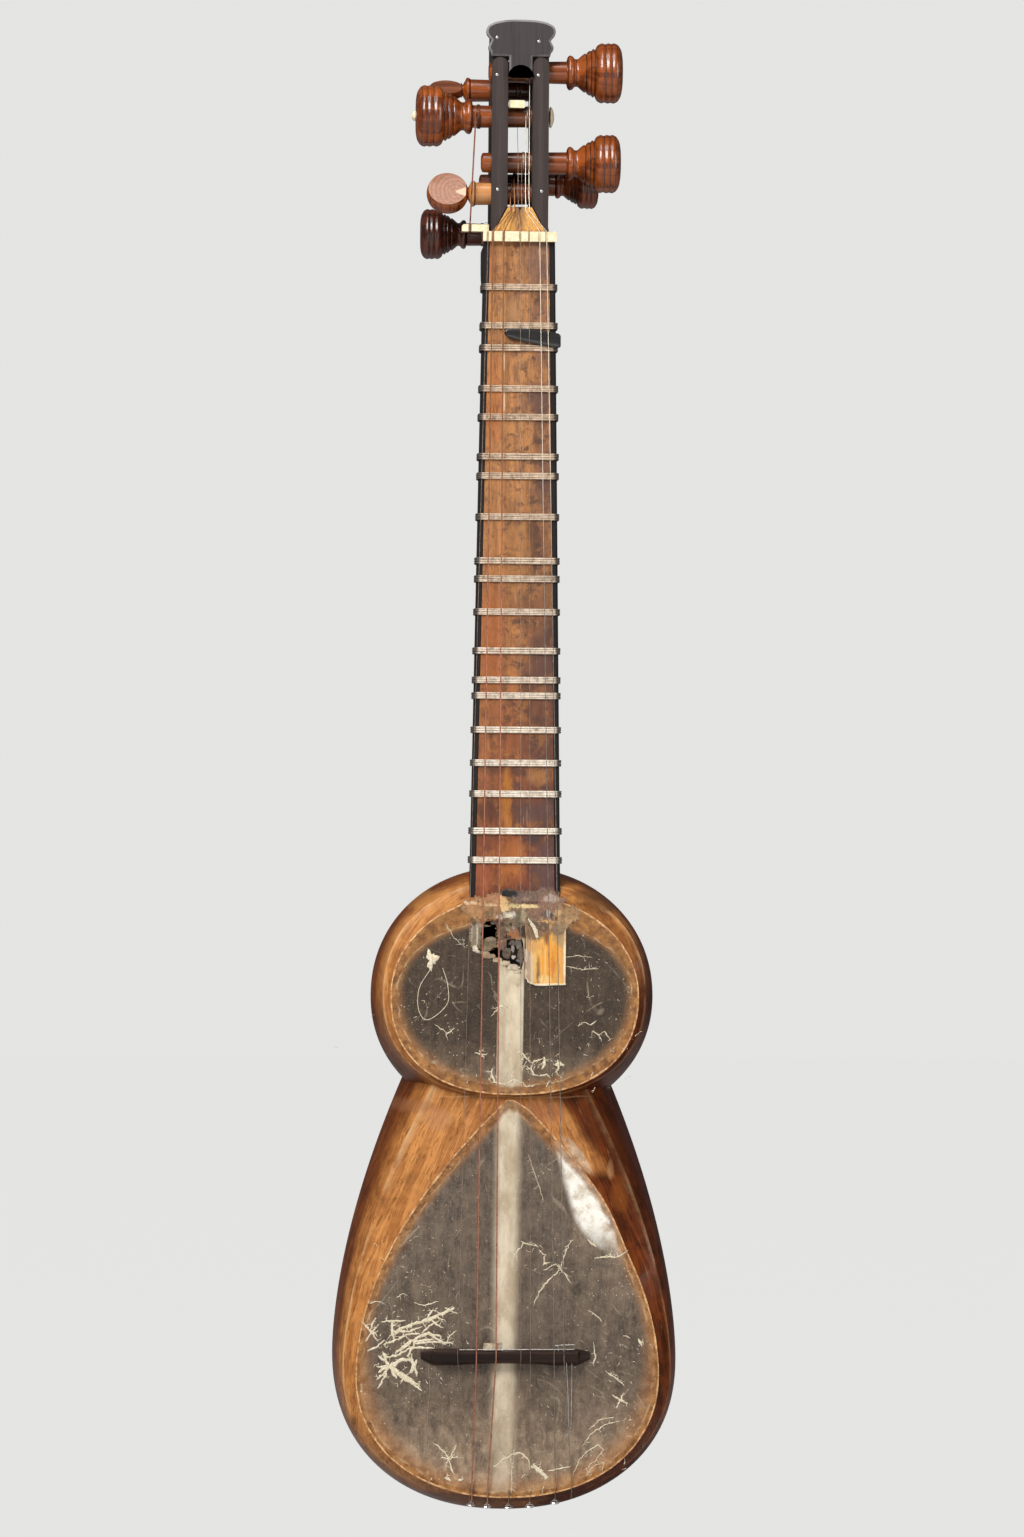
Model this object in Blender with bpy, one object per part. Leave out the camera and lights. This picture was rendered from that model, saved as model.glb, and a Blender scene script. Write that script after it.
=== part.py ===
"""A long-necked lute with a two-bowled wooden body, built piece by piece in Blender.

Frame: the origin is on the face of the fingerboard at the nut, on the centre line.
+X is the player's treble side as seen from the front, +Z runs up the neck to the head,
and the front of the instrument faces -Y. Sizes below are in millimetres.
"""
import math
from typing import NamedTuple

import bmesh
import bpy
from mathutils import Vector

MM = 0.001

# Clearances between pieces that touch on the real instrument
GAP = 0.3
PEG_PLAY = 0.25

# Neck and fingerboard. The neck takes the same share of any string, so that every fret stays on it.
STRING_LENGTH = 636.0
NECK_SHARE = 0.5936
NECK_LENGTH = STRING_LENGTH * NECK_SHARE
NECK_HALF_AT_NUT = 20.3
NECK_HALF_AT_BODY = 26.0
NECK_DEPTH_AT_NUT = 31.0
NECK_DEPTH_AT_BODY = 34.0
NECK_SIDE_DEPTH = 11.0
NECK_CHAMFER = 1.0
EDGE_WIDTH = 3.0
EDGE_DEPTH = 8.0
BOARD_THICKNESS = 3.0
BOARD_POINT_HEIGHT = 17.0
BOARD_POINT_BASE = 14.0
BOARD_POINT_START = 4.0
SCARF_RUN = 24.0

# Tied frets, placed by the interval that each one sounds above the open string
FRET_CENTS = (80, 144, 182, 254, 306, 381, 419, 502, 596, 636,
              712, 806, 880, 921, 1014, 1109, 1203, 1323, 1423)
FRET_STRANDS = 3
STRAND_PITCH = 1.35
STRAND_HEIGHT = 0.9
STRAND_VALLEY = 0.45

# Pegbox and head
BOX_HALF_WIDTH = 16.3
BOX_DEPTH = 53.0
BOX_TOP = 121.0
BOX_ROUND = 9.0
SLOT_HALF_WIDTH = 6.9
SLOT_FLOOR = 17.6
SLOT_TOP = 103.0
FOOT_RISE = 22.0
STRIP_THICKNESS = BOARD_THICKNESS
STRIP_TOP = 103.0
CAP_THICKNESS = 4.5
CAP_TOP = 124.3
CAP_LOBE = 4.5
CAP_LOW_LOBE = 3.0
CAP_ARCH_RADIUS = 6.3
CAP_ARCH_CENTRE = 90.7
FRONT_ROW = 12.3
BACK_ROW = 42.0

# Nuts
NUT_HALF_WIDTH = 21.0
NUT_HEIGHT = 5.7
NUT_THICKNESS = 3.6
NUT_NOTCH_WIDTH = 1.7
SIDE_NUT_LENGTH = 15.4
SIDE_NUT_HEIGHT = 4.0
SIDE_NUT_DEPTH = 6.0
SIDE_NUT_Z = 5.1
SIDE_NUT_FRONT = 1.0
GUIDE_LENGTH = 9.0
GUIDE_HEIGHT = 4.3
GUIDE_DEPTH = 3.6
GUIDE_FRONT = 2.0
GUIDE_Z = 74.2

# Pegs
SHAFT_RADIUS = 6.3
SHAFT_TAPER = 0.018
KNOB_RADIUS = 17.2
KNOB_LENGTH = 32.0
BALL_RADIUS = 12.0
PEG_SIDES = 16
BUTTON_RADIUS = 6.2
BUTTON_THICKNESS = 2.6

# Body: two carved bowls that run into each other at the waist
WALL = 5.5
LIP = 4.0
SEAM_GAP = 0.3
MOUTH_LEDGE = 3.0
MOUTH_LEDGE_BELOW = 6.0
UPPER_MOUTH_LEDGE_ABOVE = 14.0
LOWER_MOUTH_LEDGE_ABOVE = 9.0
UPPER_X = 0.3
UPPER_Z = -(NECK_LENGTH + 56.1)
UPPER_DEPTH = 125.0
UPPER_RIM_HALF_WIDTH = 71.0
UPPER_RIM_TOP = 57.2
UPPER_RIM_BOTTOM = 56.9
UPPER_HALF_WIDTH = 81.7
UPPER_TOP = 75.1
UPPER_BOTTOM = 71.5
UPPER_SIDE_DEPTH = 45.0
UPPER_SINK = 2.3
LOWER_X = -2.3
LOWER_Z = UPPER_Z - 217.3
LOWER_DEPTH = 160.0
LOWER_RIM_HALF_WIDTH = 86.8
LOWER_RIM_TOP = 157.3
LOWER_RIM_BOTTOM = 70.4
LOWER_HALF_WIDTH = 99.8
LOWER_TOP = 171.0
LOWER_BOTTOM = 92.0
LOWER_SIDE_DEPTH = 60.0
LOWER_RISE = 7.9
LOWER_SETBACK = 2.5
NOTCH_LENGTH = 47.5

# Stick that carries the neck's pull through both bowls to the tail
STICK_HALF_WIDTH = 7.7
STICK_THICKNESS = 13.0
STICK_X_AT_NECK = -1.1
STICK_X_AT_TAIL = -4.7
STICK_FRONT_AT_NECK = 6.5
STICK_FRONT_AT_TAIL = 15.0
STICK_END_Z = LOWER_Z - 72.6

# Skins and the patch over the neck's end
SKIN_THICKNESS = 0.6
TEAR_LEFT = -22.0
TEAR_WIDTH = 27.5
TEAR_HEIGHT = 33.5
TEAR_TOP = -(NECK_LENGTH + 10.0)
PATCH_THICKNESS = 0.8
PATCH_LEFT = 5.8
PATCH_WIDTH = 23.5
PATCH_HEIGHT = 37.3
PATCH_TOP = -(NECK_LENGTH + 13.2)

# Bridge, plectrum, tail eyes
BRIDGE_X = -3.6
BRIDGE_Z = -STRING_LENGTH
BRIDGE_CREST_Y = -8.7
BRIDGE_CREST_HALF = 40.9
BRIDGE_FOOT_HALF = 48.4
BRIDGE_FOOT_LENGTH = 9.5
BRIDGE_ARCH_HALF = 26.0
BRIDGE_ARCH_HEIGHT = 4.5
PLECTRUM_LENGTH = 32.0
PLECTRUM_WIDTH = 9.6
PLECTRUM_THICKNESS = 1.3
EYE_RADIUS = 2.4
EYE_WIRE = 0.6
EYE_Y = 6.5
EYE_TILT = 15.5
EYE_DROP = 1.2

# Strings
COPPER_RADIUS = 0.5
STEEL_RADIUS = 0.3
STRING_AT_NUT_Y = -3.2
STRING_AT_BRIDGE_Y = -9.5

LEFT, RIGHT = -1, 1


class Peg(NamedTuple):
    """One tuning peg: where its axis lies and what its head looks like."""

    name: str
    side: int       # the side that its head is on
    z: float        # height of the axis above the nut
    y: float        # depth row
    head: str       # knob, or ball planed flat on two sides
    reach: float    # length of bare shaft between the cheek and the head
    size: float     # size of the head against the largest one
    tail: float     # how far the thin end stands out of the far cheek
    turn: float = 0.0     # how far round the planed ball is turned, in degrees
    flat: float = 0.0     # half the thickness that planing leaves of the ball


PEGS = (
    Peg("peg_r1", RIGHT, 95.8, FRONT_ROW, "knob", 10.4, 1.00, 1.7),
    Peg("peg_r2", RIGHT, 43.7, FRONT_ROW, "knob", 10.6, 0.97, 5.7),
    Peg("peg_r3", RIGHT, 34.6, BACK_ROW, "knob", 5.6, 0.79, 5.7),
    Peg("peg_l1", LEFT, 70.1, FRONT_ROW, "knob", 10.6, 1.02, 0.6),
    Peg("peg_l2", LEFT, 88.8, BACK_ROW, "ball", 11.0, 0.82, 0.6, -60, 2.2),
    Peg("peg_l3", LEFT, 25.8, FRONT_ROW, "ball", 8.7, 1.00, 0.6, -30, 4.6),
    Peg("peg_l4", LEFT, 5.3, BACK_ROW, "knob", 12.5, 0.84, 0.6),
)
PEG = {peg.name: peg for peg in PEGS}

MATERIALS = {
    "dark_wood": ((0.055, 0.048, 0.052), 0.45, 0.0),
    "board_wood": ((0.42, 0.19, 0.07), 0.50, 0.0),
    "neck_wood": ((0.10, 0.05, 0.03), 0.40, 0.0),
    "bowl_wood": ((0.50, 0.22, 0.06), 0.35, 0.0),
    "peg_wood": ((0.28, 0.09, 0.03), 0.30, 0.0),
    "pale_wood": ((0.62, 0.52, 0.36), 0.70, 0.0),
    "bone": ((0.85, 0.78, 0.60), 0.40, 0.0),
    "skin": ((0.30, 0.25, 0.19), 0.50, 0.0),
    "amber_wood": ((0.70, 0.36, 0.10), 0.45, 0.0),
    "gut": ((0.66, 0.60, 0.50), 0.60, 0.0),
    "horn": ((0.03, 0.03, 0.03), 0.30, 0.0),
    "copper": ((0.60, 0.26, 0.18), 0.35, 1.0),
    "steel": ((0.60, 0.60, 0.58), 0.30, 1.0),
}


def clear_scene():
    for obj in list(bpy.data.objects):
        bpy.data.objects.remove(obj, do_unlink=True)


def material(name):
    """The Principled material of one finish, made when it is first asked for."""
    found = bpy.data.materials.get(name)
    if found:
        return found
    colour, roughness, metallic = MATERIALS[name]
    made = bpy.data.materials.new(name)
    made.use_nodes = True
    shader = made.node_tree.nodes["Principled BSDF"]
    shader.inputs["Base Color"].default_value = (*colour, 1.0)
    shader.inputs["Roughness"].default_value = roughness
    shader.inputs["Metallic"].default_value = metallic
    return made


def solid(name, points, faces, finish, at=(0.0, 0.0, 0.0)):
    """A closed mesh object from points in millimetres, measured from its own origin."""
    mesh = bpy.data.meshes.new(name)
    mesh.from_pydata([Vector(p) * MM for p in points], [], faces)
    shape = bmesh.new()
    shape.from_mesh(mesh)
    bmesh.ops.recalc_face_normals(shape, faces=shape.faces)
    shape.to_mesh(mesh)
    shape.free()
    mesh.shade_smooth()
    mesh.set_sharp_from_angle(angle=math.radians(35))
    mesh.materials.append(material(finish))
    obj = bpy.data.objects.new(name, mesh)
    obj.location = Vector(at) * MM
    bpy.context.scene.collection.objects.link(obj)
    return obj


def loft(rings):
    """Points and faces of a skin over rings of equal length, with a flat face at each end."""
    count = len(rings[0])
    points = [p for ring in rings for p in ring]
    faces = [tuple(range(count)), tuple(range(len(points) - count, len(points)))]
    for row in range(len(rings) - 1):
        for i in range(count):
            j = (i + 1) % count
            base = row * count
            faces.append((base + i, base + j, base + count + j, base + count + i))
    return points, faces


def dome(rings, pole):
    """A loft whose last ring closes on one point."""
    points, faces = loft(rings)
    count = len(rings[0])
    del faces[1]
    first = len(points) - count
    points.append(pole)
    faces += [(first + i, first + (i + 1) % count, len(points) - 1) for i in range(count)]
    return points, faces


def prism(outline, axis, low, high):
    """An outline drawn in the two other axes, pushed along X, Y or Z from low to high."""
    def lift(pair, level):
        a, b = pair
        return {"X": (level, a, b), "Y": (a, level, b), "Z": (a, b, level)}[axis]

    return loft([[lift(p, low) for p in outline], [lift(p, high) for p in outline]])


def turned(profile, axis, steps):
    """A lathe-turned shape: profile pairs are the place along the axis and the radius there."""
    rings = []
    for along, radius in profile:
        ring = []
        for i in range(steps):
            angle = 2 * math.pi * i / steps
            a, b = radius * math.cos(angle), radius * math.sin(angle)
            ring.append({"X": (along, a, b), "Z": (a, b, along)}[axis])
        rings.append(ring)
    return loft(rings)


def arc(centre, radius, start, end, steps):
    """Points on an arc, from one angle to another in degrees, both ends included."""
    angles = [math.radians(start + (end - start) * i / steps) for i in range(steps + 1)]
    return [(centre[0] + radius * math.cos(a), centre[1] + radius * math.sin(a)) for a in angles]


def mirrored(half):
    """A closed outline from its right half, listed from one end of the centre line."""
    return list(half) + [(-x, z) for x, z in reversed(half) if abs(x) > 1e-6]


def settle(obj):
    """Turns an object's modifiers into plain mesh."""
    graph = bpy.context.evaluated_depsgraph_get()
    mesh = bpy.data.meshes.new_from_object(obj.evaluated_get(graph))
    obj.modifiers.clear()
    obj.data = mesh


def combine(target, tool, how):
    """Cuts, joins or keeps the common part of two solids, and uses the second one up."""
    step = target.modifiers.new(how.lower(), "BOOLEAN")
    step.operation = how
    step.solver = "EXACT"
    step.object = tool
    settle(target)
    bpy.data.objects.remove(tool, do_unlink=True)


def cut(target, points_and_faces, at=(0.0, 0.0, 0.0)):
    combine(target, solid("cutter", *points_and_faces, "dark_wood", at), "DIFFERENCE")


# Neck

def neck_half_width(z):
    """The neck widens evenly from the nut to the body."""
    share = -z / NECK_LENGTH
    return NECK_HALF_AT_NUT + (NECK_HALF_AT_BODY - NECK_HALF_AT_NUT) * share


def neck_depth(z):
    share = -z / NECK_LENGTH
    return NECK_DEPTH_AT_NUT + (NECK_DEPTH_AT_BODY - NECK_DEPTH_AT_NUT) * share


def neck_back(z, grow=0.0, steps=8):
    """The rounded back of the neck, right to left. It is squarer near the head joint."""
    squareness = 2.3 + 1.9 * max(0.0, 1.0 + z / 75.0)
    half = neck_half_width(z) + grow
    reach = neck_depth(z) - NECK_SIDE_DEPTH + grow
    points = []
    for i in range(steps + 1):
        angle = math.pi * i / steps
        across = abs(math.cos(angle)) ** (2 / squareness) * math.copysign(1, math.cos(angle))
        down = math.sin(angle) ** (2 / squareness)
        points.append((half * across, NECK_SIDE_DEPTH + reach * down))
    return points


def core_outline(z):
    """The neck's core, with a step on each side for the dark edges."""
    half = neck_half_width(z)
    inner = half - EDGE_WIDTH - GAP
    shelf = EDGE_DEPTH + GAP
    seat = BOARD_THICKNESS + GAP
    return [(-inner, shelf), (-inner, seat), (inner, seat), (inner, shelf), (half, shelf)] \
        + neck_back(z) + [(-half, shelf)]


def scarf_z(y):
    """Height of the slanted joint between neck and head, which drops towards the back."""
    return -y * SCARF_RUN / NECK_DEPTH_AT_NUT


def scarf_wedge(shift):
    """Everything above the slanted head joint, as a side outline pushed through the neck."""
    near, far = -20.0, BOX_DEPTH + 20
    outline = [(near, scarf_z(near) + shift), (far, scarf_z(far) + shift), (far, BOX_TOP), (near, BOX_TOP)]
    return prism(outline, "X", -60.0, 60.0)


def build_neck():
    heights = [6.0, -30.0, -75.0, -NECK_LENGTH]
    rings = [[(x, y, z) for x, y in core_outline(z)] for z in heights]
    neck = solid("neck", *loft(rings), "neck_wood")
    cut(neck, scarf_wedge(-GAP))


def build_fingerboard():
    """A thin board between the dark edges, with a pointed end that closes the peg slot."""
    base = neck_half_width(0) - EDGE_WIDTH - GAP
    foot = neck_half_width(-NECK_LENGTH) - EDGE_WIDTH - GAP
    notch = 1.6
    top = BOARD_POINT_HEIGHT
    half = [(0.0, top - notch), (notch, top), (SLOT_HALF_WIDTH, top), (BOARD_POINT_BASE, BOARD_POINT_START),
            (base, -NUT_HEIGHT / 2), (foot, -NECK_LENGTH)]
    solid("fingerboard", *prism(mirrored(half), "Y", 0.0, BOARD_THICKNESS), "board_wood")


def build_neck_edge(name, side):
    """A dark strip let into the neck beside the fingerboard, with its outer corner eased."""
    rings = []
    for z in (6.0, -NECK_LENGTH):
        outer = neck_half_width(z)
        inner = outer - EDGE_WIDTH
        section = [(inner, 0.0), (outer - NECK_CHAMFER, 0.0), (outer, NECK_CHAMFER), (outer, EDGE_DEPTH),
                   (inner, EDGE_DEPTH)]
        rings.append([(side * x, y, z) for x, y in section])
    edge = solid(name, *loft(rings), "dark_wood")
    cut(edge, scarf_wedge(-GAP))


def fret_z(cents):
    """How far below the nut a fret sits, from the interval that it sounds."""
    return -STRING_LENGTH * (1 - 2 ** (-cents / 1200))


def build_fret(number, cents):
    """Gut wound three times round the neck: three rounded ridges side by side."""
    centre = fret_z(cents)
    width = FRET_STRANDS * STRAND_PITCH
    section = [(width / 2, GAP), (-width / 2, GAP)]
    for i in range(FRET_STRANDS):
        left = -width / 2 + i * STRAND_PITCH
        if i:
            section.append((left, GAP + STRAND_VALLEY))
        section.append((left + 0.28 * STRAND_PITCH, GAP + STRAND_HEIGHT))
        section.append((left + 0.72 * STRAND_PITCH, GAP + STRAND_HEIGHT))
    rings = []
    for offset, grow in section:
        z = centre + offset
        half = neck_half_width(centre) + grow
        corner = NECK_CHAMFER
        front = [(-half, corner - grow / 2), (-half + corner, -grow), (half - corner, -grow),
                 (half, corner - grow / 2)]
        rings.append([(x, y, z - centre) for x, y in front + neck_back(centre, grow)])
    count = len(rings[0])
    points = [p for ring in rings for p in ring]
    faces = []
    for row in range(len(rings)):
        following = (row + 1) % len(rings)
        for i in range(count):
            j = (i + 1) % count
            faces.append((row * count + i, row * count + j, following * count + j, following * count + i))
    solid(f"fret_{number:02d}", points, faces, "gut", at=(0.0, 0.0, centre))


# Pegbox and head

def foot_curve():
    """The pegbox's back, from its lower end on the scarf joint up to full depth."""
    start = (NECK_DEPTH_AT_NUT + 0.8, scarf_z(NECK_DEPTH_AT_NUT + 0.8))
    end = (BOX_DEPTH, start[1] + FOOT_RISE)
    bend = (BOX_DEPTH - 3.0, start[1] + 3.0)
    points = []
    for i in range(7):
        t = i / 6
        points.append(tuple((1 - t) ** 2 * a + 2 * t * (1 - t) * b + t * t * c
                            for a, b, c in zip(start, bend, end)))
    return points


def shaft_radius(peg, x):
    """A peg's shaft narrows evenly from its head to its thin end. x is across the pegbox."""
    return SHAFT_RADIUS - SHAFT_TAPER * (BOX_HALF_WIDTH - peg.side * x)


def peg_bore(peg):
    """The tapered hole for a peg, right through both cheeks."""
    ends = (peg.side * 60.0, -peg.side * 60.0)
    facets = 1 / math.cos(math.pi / PEG_SIDES)
    profile = [(x, (shaft_radius(peg, x) + PEG_PLAY) * facets) for x in ends]
    return turned(profile, "X", PEG_SIDES)


def build_pegbox():
    """The head box: one carved block, slotted right through, with seven tapered bores."""
    front = STRIP_THICKNESS + GAP
    bend = (BOX_DEPTH - BOX_ROUND, BOX_TOP - BOX_ROUND)
    side = [(front, scarf_z(front))] + foot_curve() + arc(bend, BOX_ROUND, 0, 90, 5) + [(front, BOX_TOP)]
    box = solid("pegbox", *prism(side, "X", -2 * BOX_HALF_WIDTH, 2 * BOX_HALF_WIDTH), "dark_wood")
    wide = neck_half_width(0)
    half, high, low = BOX_HALF_WIDTH, BOX_TOP + 5.0, -SCARF_RUN - 6.0
    face = [(0.0, high), (half, high), (half, 7.0), (half + 1.0, 2.0), (wide, -4.0),
            (neck_half_width(low), low), (0.0, low)]
    keep = solid("cutter", *prism(mirrored(face), "Y", -10.0, BOX_DEPTH + 10), "dark_wood")
    combine(box, keep, "INTERSECT")
    slot = [(-SLOT_HALF_WIDTH, SLOT_FLOOR), (SLOT_HALF_WIDTH, SLOT_FLOOR)]
    slot += arc((0.0, SLOT_TOP), SLOT_HALF_WIDTH, 0, 180, 8)
    cut(box, prism(slot, "Y", -10.0, BOX_DEPTH + 10))
    for peg in PEGS:
        cut(box, peg_bore(peg), at=(0.0, peg.y, peg.z))


def build_front_strip(name, side):
    """A dark facing strip on one cheek, round at its top and flared beside the fingerboard's point."""
    inner, outer = SLOT_HALF_WIDTH + GAP, BOX_HALF_WIDTH
    radius = (outer - inner) / 2
    top = arc(((inner + outer) / 2, STRIP_TOP - radius), radius, 0, 180, 8)
    beside = BOARD_POINT_BASE + 2 * GAP
    foot = NUT_HEIGHT / 2 + GAP
    outline = top + [(inner, BOARD_POINT_HEIGHT + 1.0), (beside, BOARD_POINT_START), (beside, foot),
                     (outer, foot)]
    outline = [(side * x, z) for x, z in outline]
    solid(name, *prism(outline, "Y", 0.0, STRIP_THICKNESS), "dark_wood")


def build_head_cap():
    """The plate on the head: two lobes a side, and a tongue between the strips with an arch cut in it."""
    waist = SLOT_HALF_WIDTH - GAP
    bottom = STRIP_TOP + GAP
    half = [(0.0, CAP_TOP), (9.0, CAP_TOP - 0.4), (15.0, CAP_TOP - 1.6)]
    half += arc((BOX_HALF_WIDTH - 0.9, CAP_TOP - 6.8), CAP_LOBE, 62, -42, 5)
    half += [(BOX_HALF_WIDTH + 0.6, CAP_TOP - 11.9)]
    half += arc((BOX_HALF_WIDTH - 0.6, CAP_TOP - 16.0), CAP_LOW_LOBE, 38, -55, 4)
    half += [(BOX_HALF_WIDTH + 0.4, bottom), (waist, bottom), (waist, CAP_ARCH_CENTRE)]
    half += arc((0.0, CAP_ARCH_CENTRE), CAP_ARCH_RADIUS, 4, 90, 6)
    back = STRIP_THICKNESS
    cap = solid("head_cap", *prism(mirrored(half), "Y", back - CAP_THICKNESS, back), "dark_wood")
    bevel = cap.modifiers.new("eased edge", "BEVEL")
    bevel.width = 0.6 * MM
    bevel.segments = 1
    bevel.limit_method = "ANGLE"
    bevel.angle_limit = math.radians(75)
    settle(cap)


def build_nut():
    """The bone nut across the fingerboard's end, with a notch for each string."""
    outline = [(-NUT_HALF_WIDTH, -NUT_HEIGHT / 2), (NUT_HALF_WIDTH, -NUT_HEIGHT / 2),
               (NUT_HALF_WIDTH, NUT_HEIGHT / 2), (-NUT_HALF_WIDTH, NUT_HEIGHT / 2)]
    nut = solid("nut", *prism(outline, "Y", -GAP - NUT_THICKNESS, -GAP), "bone")
    for string in STRINGS:
        floor = STRING_AT_NUT_Y + string.radius + GAP
        x, half, top = string.nut_x, NUT_NOTCH_WIDTH / 2, -4 * NUT_THICKNESS
        notch = [(x - half, top), (x + half, top), (x + half, floor - 0.3), (x, floor), (x - half, floor - 0.3)]
        cut(nut, prism(notch, "Z", -NUT_HEIGHT, NUT_HEIGHT))


def build_side_nut():
    """A little bone bar on the left cheek, which the outside string bears on."""
    start = -BOX_HALF_WIDTH - 1.0 - GAP
    end = start - SIDE_NUT_LENGTH
    low, high = SIDE_NUT_Z - SIDE_NUT_HEIGHT / 2, SIDE_NUT_Z + SIDE_NUT_HEIGHT / 2
    outline = [(start, low), (start, high), (end + 1.0, high), (end, high - 1.0), (end, low)]
    bar = solid("side_nut", *prism(outline, "Y", SIDE_NUT_FRONT, SIDE_NUT_FRONT + SIDE_NUT_DEPTH), "bone")
    x = SIDE_STRING_X
    floor = SIDE_NUT_FRONT + 0.6
    notch = [(x - 0.9, -5.0), (x + 0.9, -5.0), (x + 0.9, floor), (x - 0.9, floor)]
    cut(bar, prism(notch, "Z", low - 5, high + 5))


def build_slot_guide():
    """A bone bar let into the left cheek, in front of the first left peg's shaft."""
    left = -SLOT_HALF_WIDTH + GAP
    right, high = left + GUIDE_LENGTH, GUIDE_Z + GUIDE_HEIGHT
    outline = [(left, GUIDE_Z), (right, GUIDE_Z), (right, high), (left, high)]
    solid("slot_guide", *prism(outline, "Y", GUIDE_FRONT, GUIDE_FRONT + GUIDE_DEPTH), "bone")


# Pegs

def knob_profile(size):
    """A turned head from its bead to its domed end, as shares of the knob's length and radius."""
    shape = [(0.0, 0.37), (0.022, 0.52), (0.063, 0.58), (0.116, 0.54), (0.147, 0.47), (0.203, 0.465),
             (0.26, 0.555), (0.328, 0.65), (0.35, 0.62), (0.375, 0.69), (0.42, 0.75), (0.435, 0.725),
             (0.48, 0.81), (0.51, 0.77), (0.54, 0.89), (0.575, 0.95), (0.635, 0.995), (0.69, 0.965),
             (0.75, 1.0), (0.80, 0.975), (0.85, 1.0), (0.90, 0.965), (0.935, 0.91), (0.98, 0.76), (1.0, 0.56)]
    return [(along * KNOB_LENGTH * size, radius * KNOB_RADIUS * size) for along, radius in shape]


def ball_profile(size):
    """A collar, a thin neck and a ball, before its two sides are planed flat."""
    radius = BALL_RADIUS * size
    neck = [(0.0, 6.6), (1.0, 7.4), (2.3, 7.4), (3.2, 5.4), (4.4, 3.4)]
    middle = 4.4 + radius * 0.97
    ball = []
    for i in range(9):
        angle = math.radians(160 - 18.5 * i)
        ball.append((middle + radius * math.cos(angle), radius * math.sin(angle)))
    return [(along, r) for along, r in neck if along < ball[0][0]] + ball, middle


def peg_profile(peg):
    """From the thin end to the head, measured along the shaft from the pegbox's middle."""
    thin = -BOX_HALF_WIDTH - peg.tail
    start = BOX_HALF_WIDTH + peg.reach
    head = knob_profile(peg.size) if peg.head == "knob" else ball_profile(peg.size)[0]
    end = shaft_radius(peg, peg.side * thin)
    base = [(thin, 0.75 * end), (thin + 0.8, end), (start, shaft_radius(peg, peg.side * start))]
    return base + [(start + along + 0.01, radius) for along, radius in head]


def build_peg(peg):
    """One turned peg, with its origin on its axis in the middle of the pegbox."""
    profile = [(peg.side * along, radius) for along, radius in peg_profile(peg)]
    obj = solid(peg.name, *turned(profile, "X", PEG_SIDES), "peg_wood", at=(0.0, peg.y, peg.z))
    if peg.head == "ball":
        plane_ball(obj, peg)


def plane_ball(obj, peg):
    """Planes a ball head flat on two sides, so that fingers can grip it."""
    size = BALL_RADIUS * peg.size
    middle = peg.side * (BOX_HALF_WIDTH + peg.reach + ball_profile(peg.size)[1])
    reach = 1.6 * size
    angle = math.radians(peg.turn)
    for face in (-1, 1):
        low, high = sorted((face * peg.flat, face * 3 * size))
        outline = [(middle - peg.side * 0.86 * size, -reach), (middle + peg.side * reach, -reach),
                   (middle + peg.side * reach, reach), (middle - peg.side * 0.86 * size, reach)]
        points, faces = prism(outline, "Y", low, high)
        cos, sin = math.cos(angle), math.sin(angle)
        points = [(x, y * cos - z * sin, y * sin + z * cos) for x, y, z in points]
        cut(obj, (points, faces), at=(0.0, peg.y, peg.z))


def build_peg_buttons():
    """The bone disc on the thin end of the first left peg, and the bone tip on its knob."""
    peg = PEG["peg_l1"]
    at = (0.0, peg.y, peg.z)
    thin = BOX_HALF_WIDTH + peg.tail + GAP
    disc = [(thin, BUTTON_RADIUS * 0.9), (thin + 0.5, BUTTON_RADIUS), (thin + 1.3, BUTTON_RADIUS * 0.9),
            (thin + 2.1, BUTTON_RADIUS * 0.6), (thin + BUTTON_THICKNESS, BUTTON_RADIUS * 0.25)]
    solid("peg_l1_button", *turned(disc, "X", 16), "bone", at)
    end = -BOX_HALF_WIDTH - peg.reach - knob_profile(peg.size)[-1][0] - GAP
    tip = [(end, 3.0), (end - 0.8, 2.9), (end - 1.7, 2.1), (end - 2.2, 0.8)]
    solid("peg_l1_tip", *turned(tip, "X", 12), "bone", at)


# Body

class Ring(NamedTuple):
    """One outline of a bowl, parallel to the front. Sizes are measured from its own widest line."""

    y: float          # depth of this outline
    z: float          # height of the widest line
    half: float       # half width at that line
    top: float        # reach above it
    bottom: float     # reach below it
    flat: float = 0.0     # share of the width that is left at the very top
    power: float = 2.2    # how soon the upper side turns in
    root: float = 1 / 2.2     # 1 gives a pointed top, 1 over power a round one
    round: float = 2.2    # exponent of the rounded lower end


SIDE_STEPS = 10
END_STEPS = 10


def ring_points(ring, x_shift=0.0):
    """The outline, from its right widest point over the top and back round the bottom."""
    right = []
    for i in range(SIDE_STEPS):
        if ring.root == 1:
            rise = i / (SIDE_STEPS - 1)
        else:
            rise = math.sin(math.radians(90 * i / (SIDE_STEPS - 0.5)))
        width = ring.flat + (1 - ring.flat) * (1 - rise ** ring.power) ** ring.root
        right.append((ring.half * width, ring.top * rise))
    low = []
    for i in range(1, END_STEPS + 1):
        angle, power = math.radians(90 * i / END_STEPS), 2 / ring.round
        low.append((ring.half * math.cos(angle) ** power, -ring.bottom * math.sin(angle) ** power))
    left = [(-x, z) for x, z in reversed(right)] + [(-x, z) for x, z in low]
    outline = right + left + [(x, z) for x, z in reversed(low[:-1])]
    return [(x + x_shift, ring.y, z + ring.z) for x, z in outline]


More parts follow.
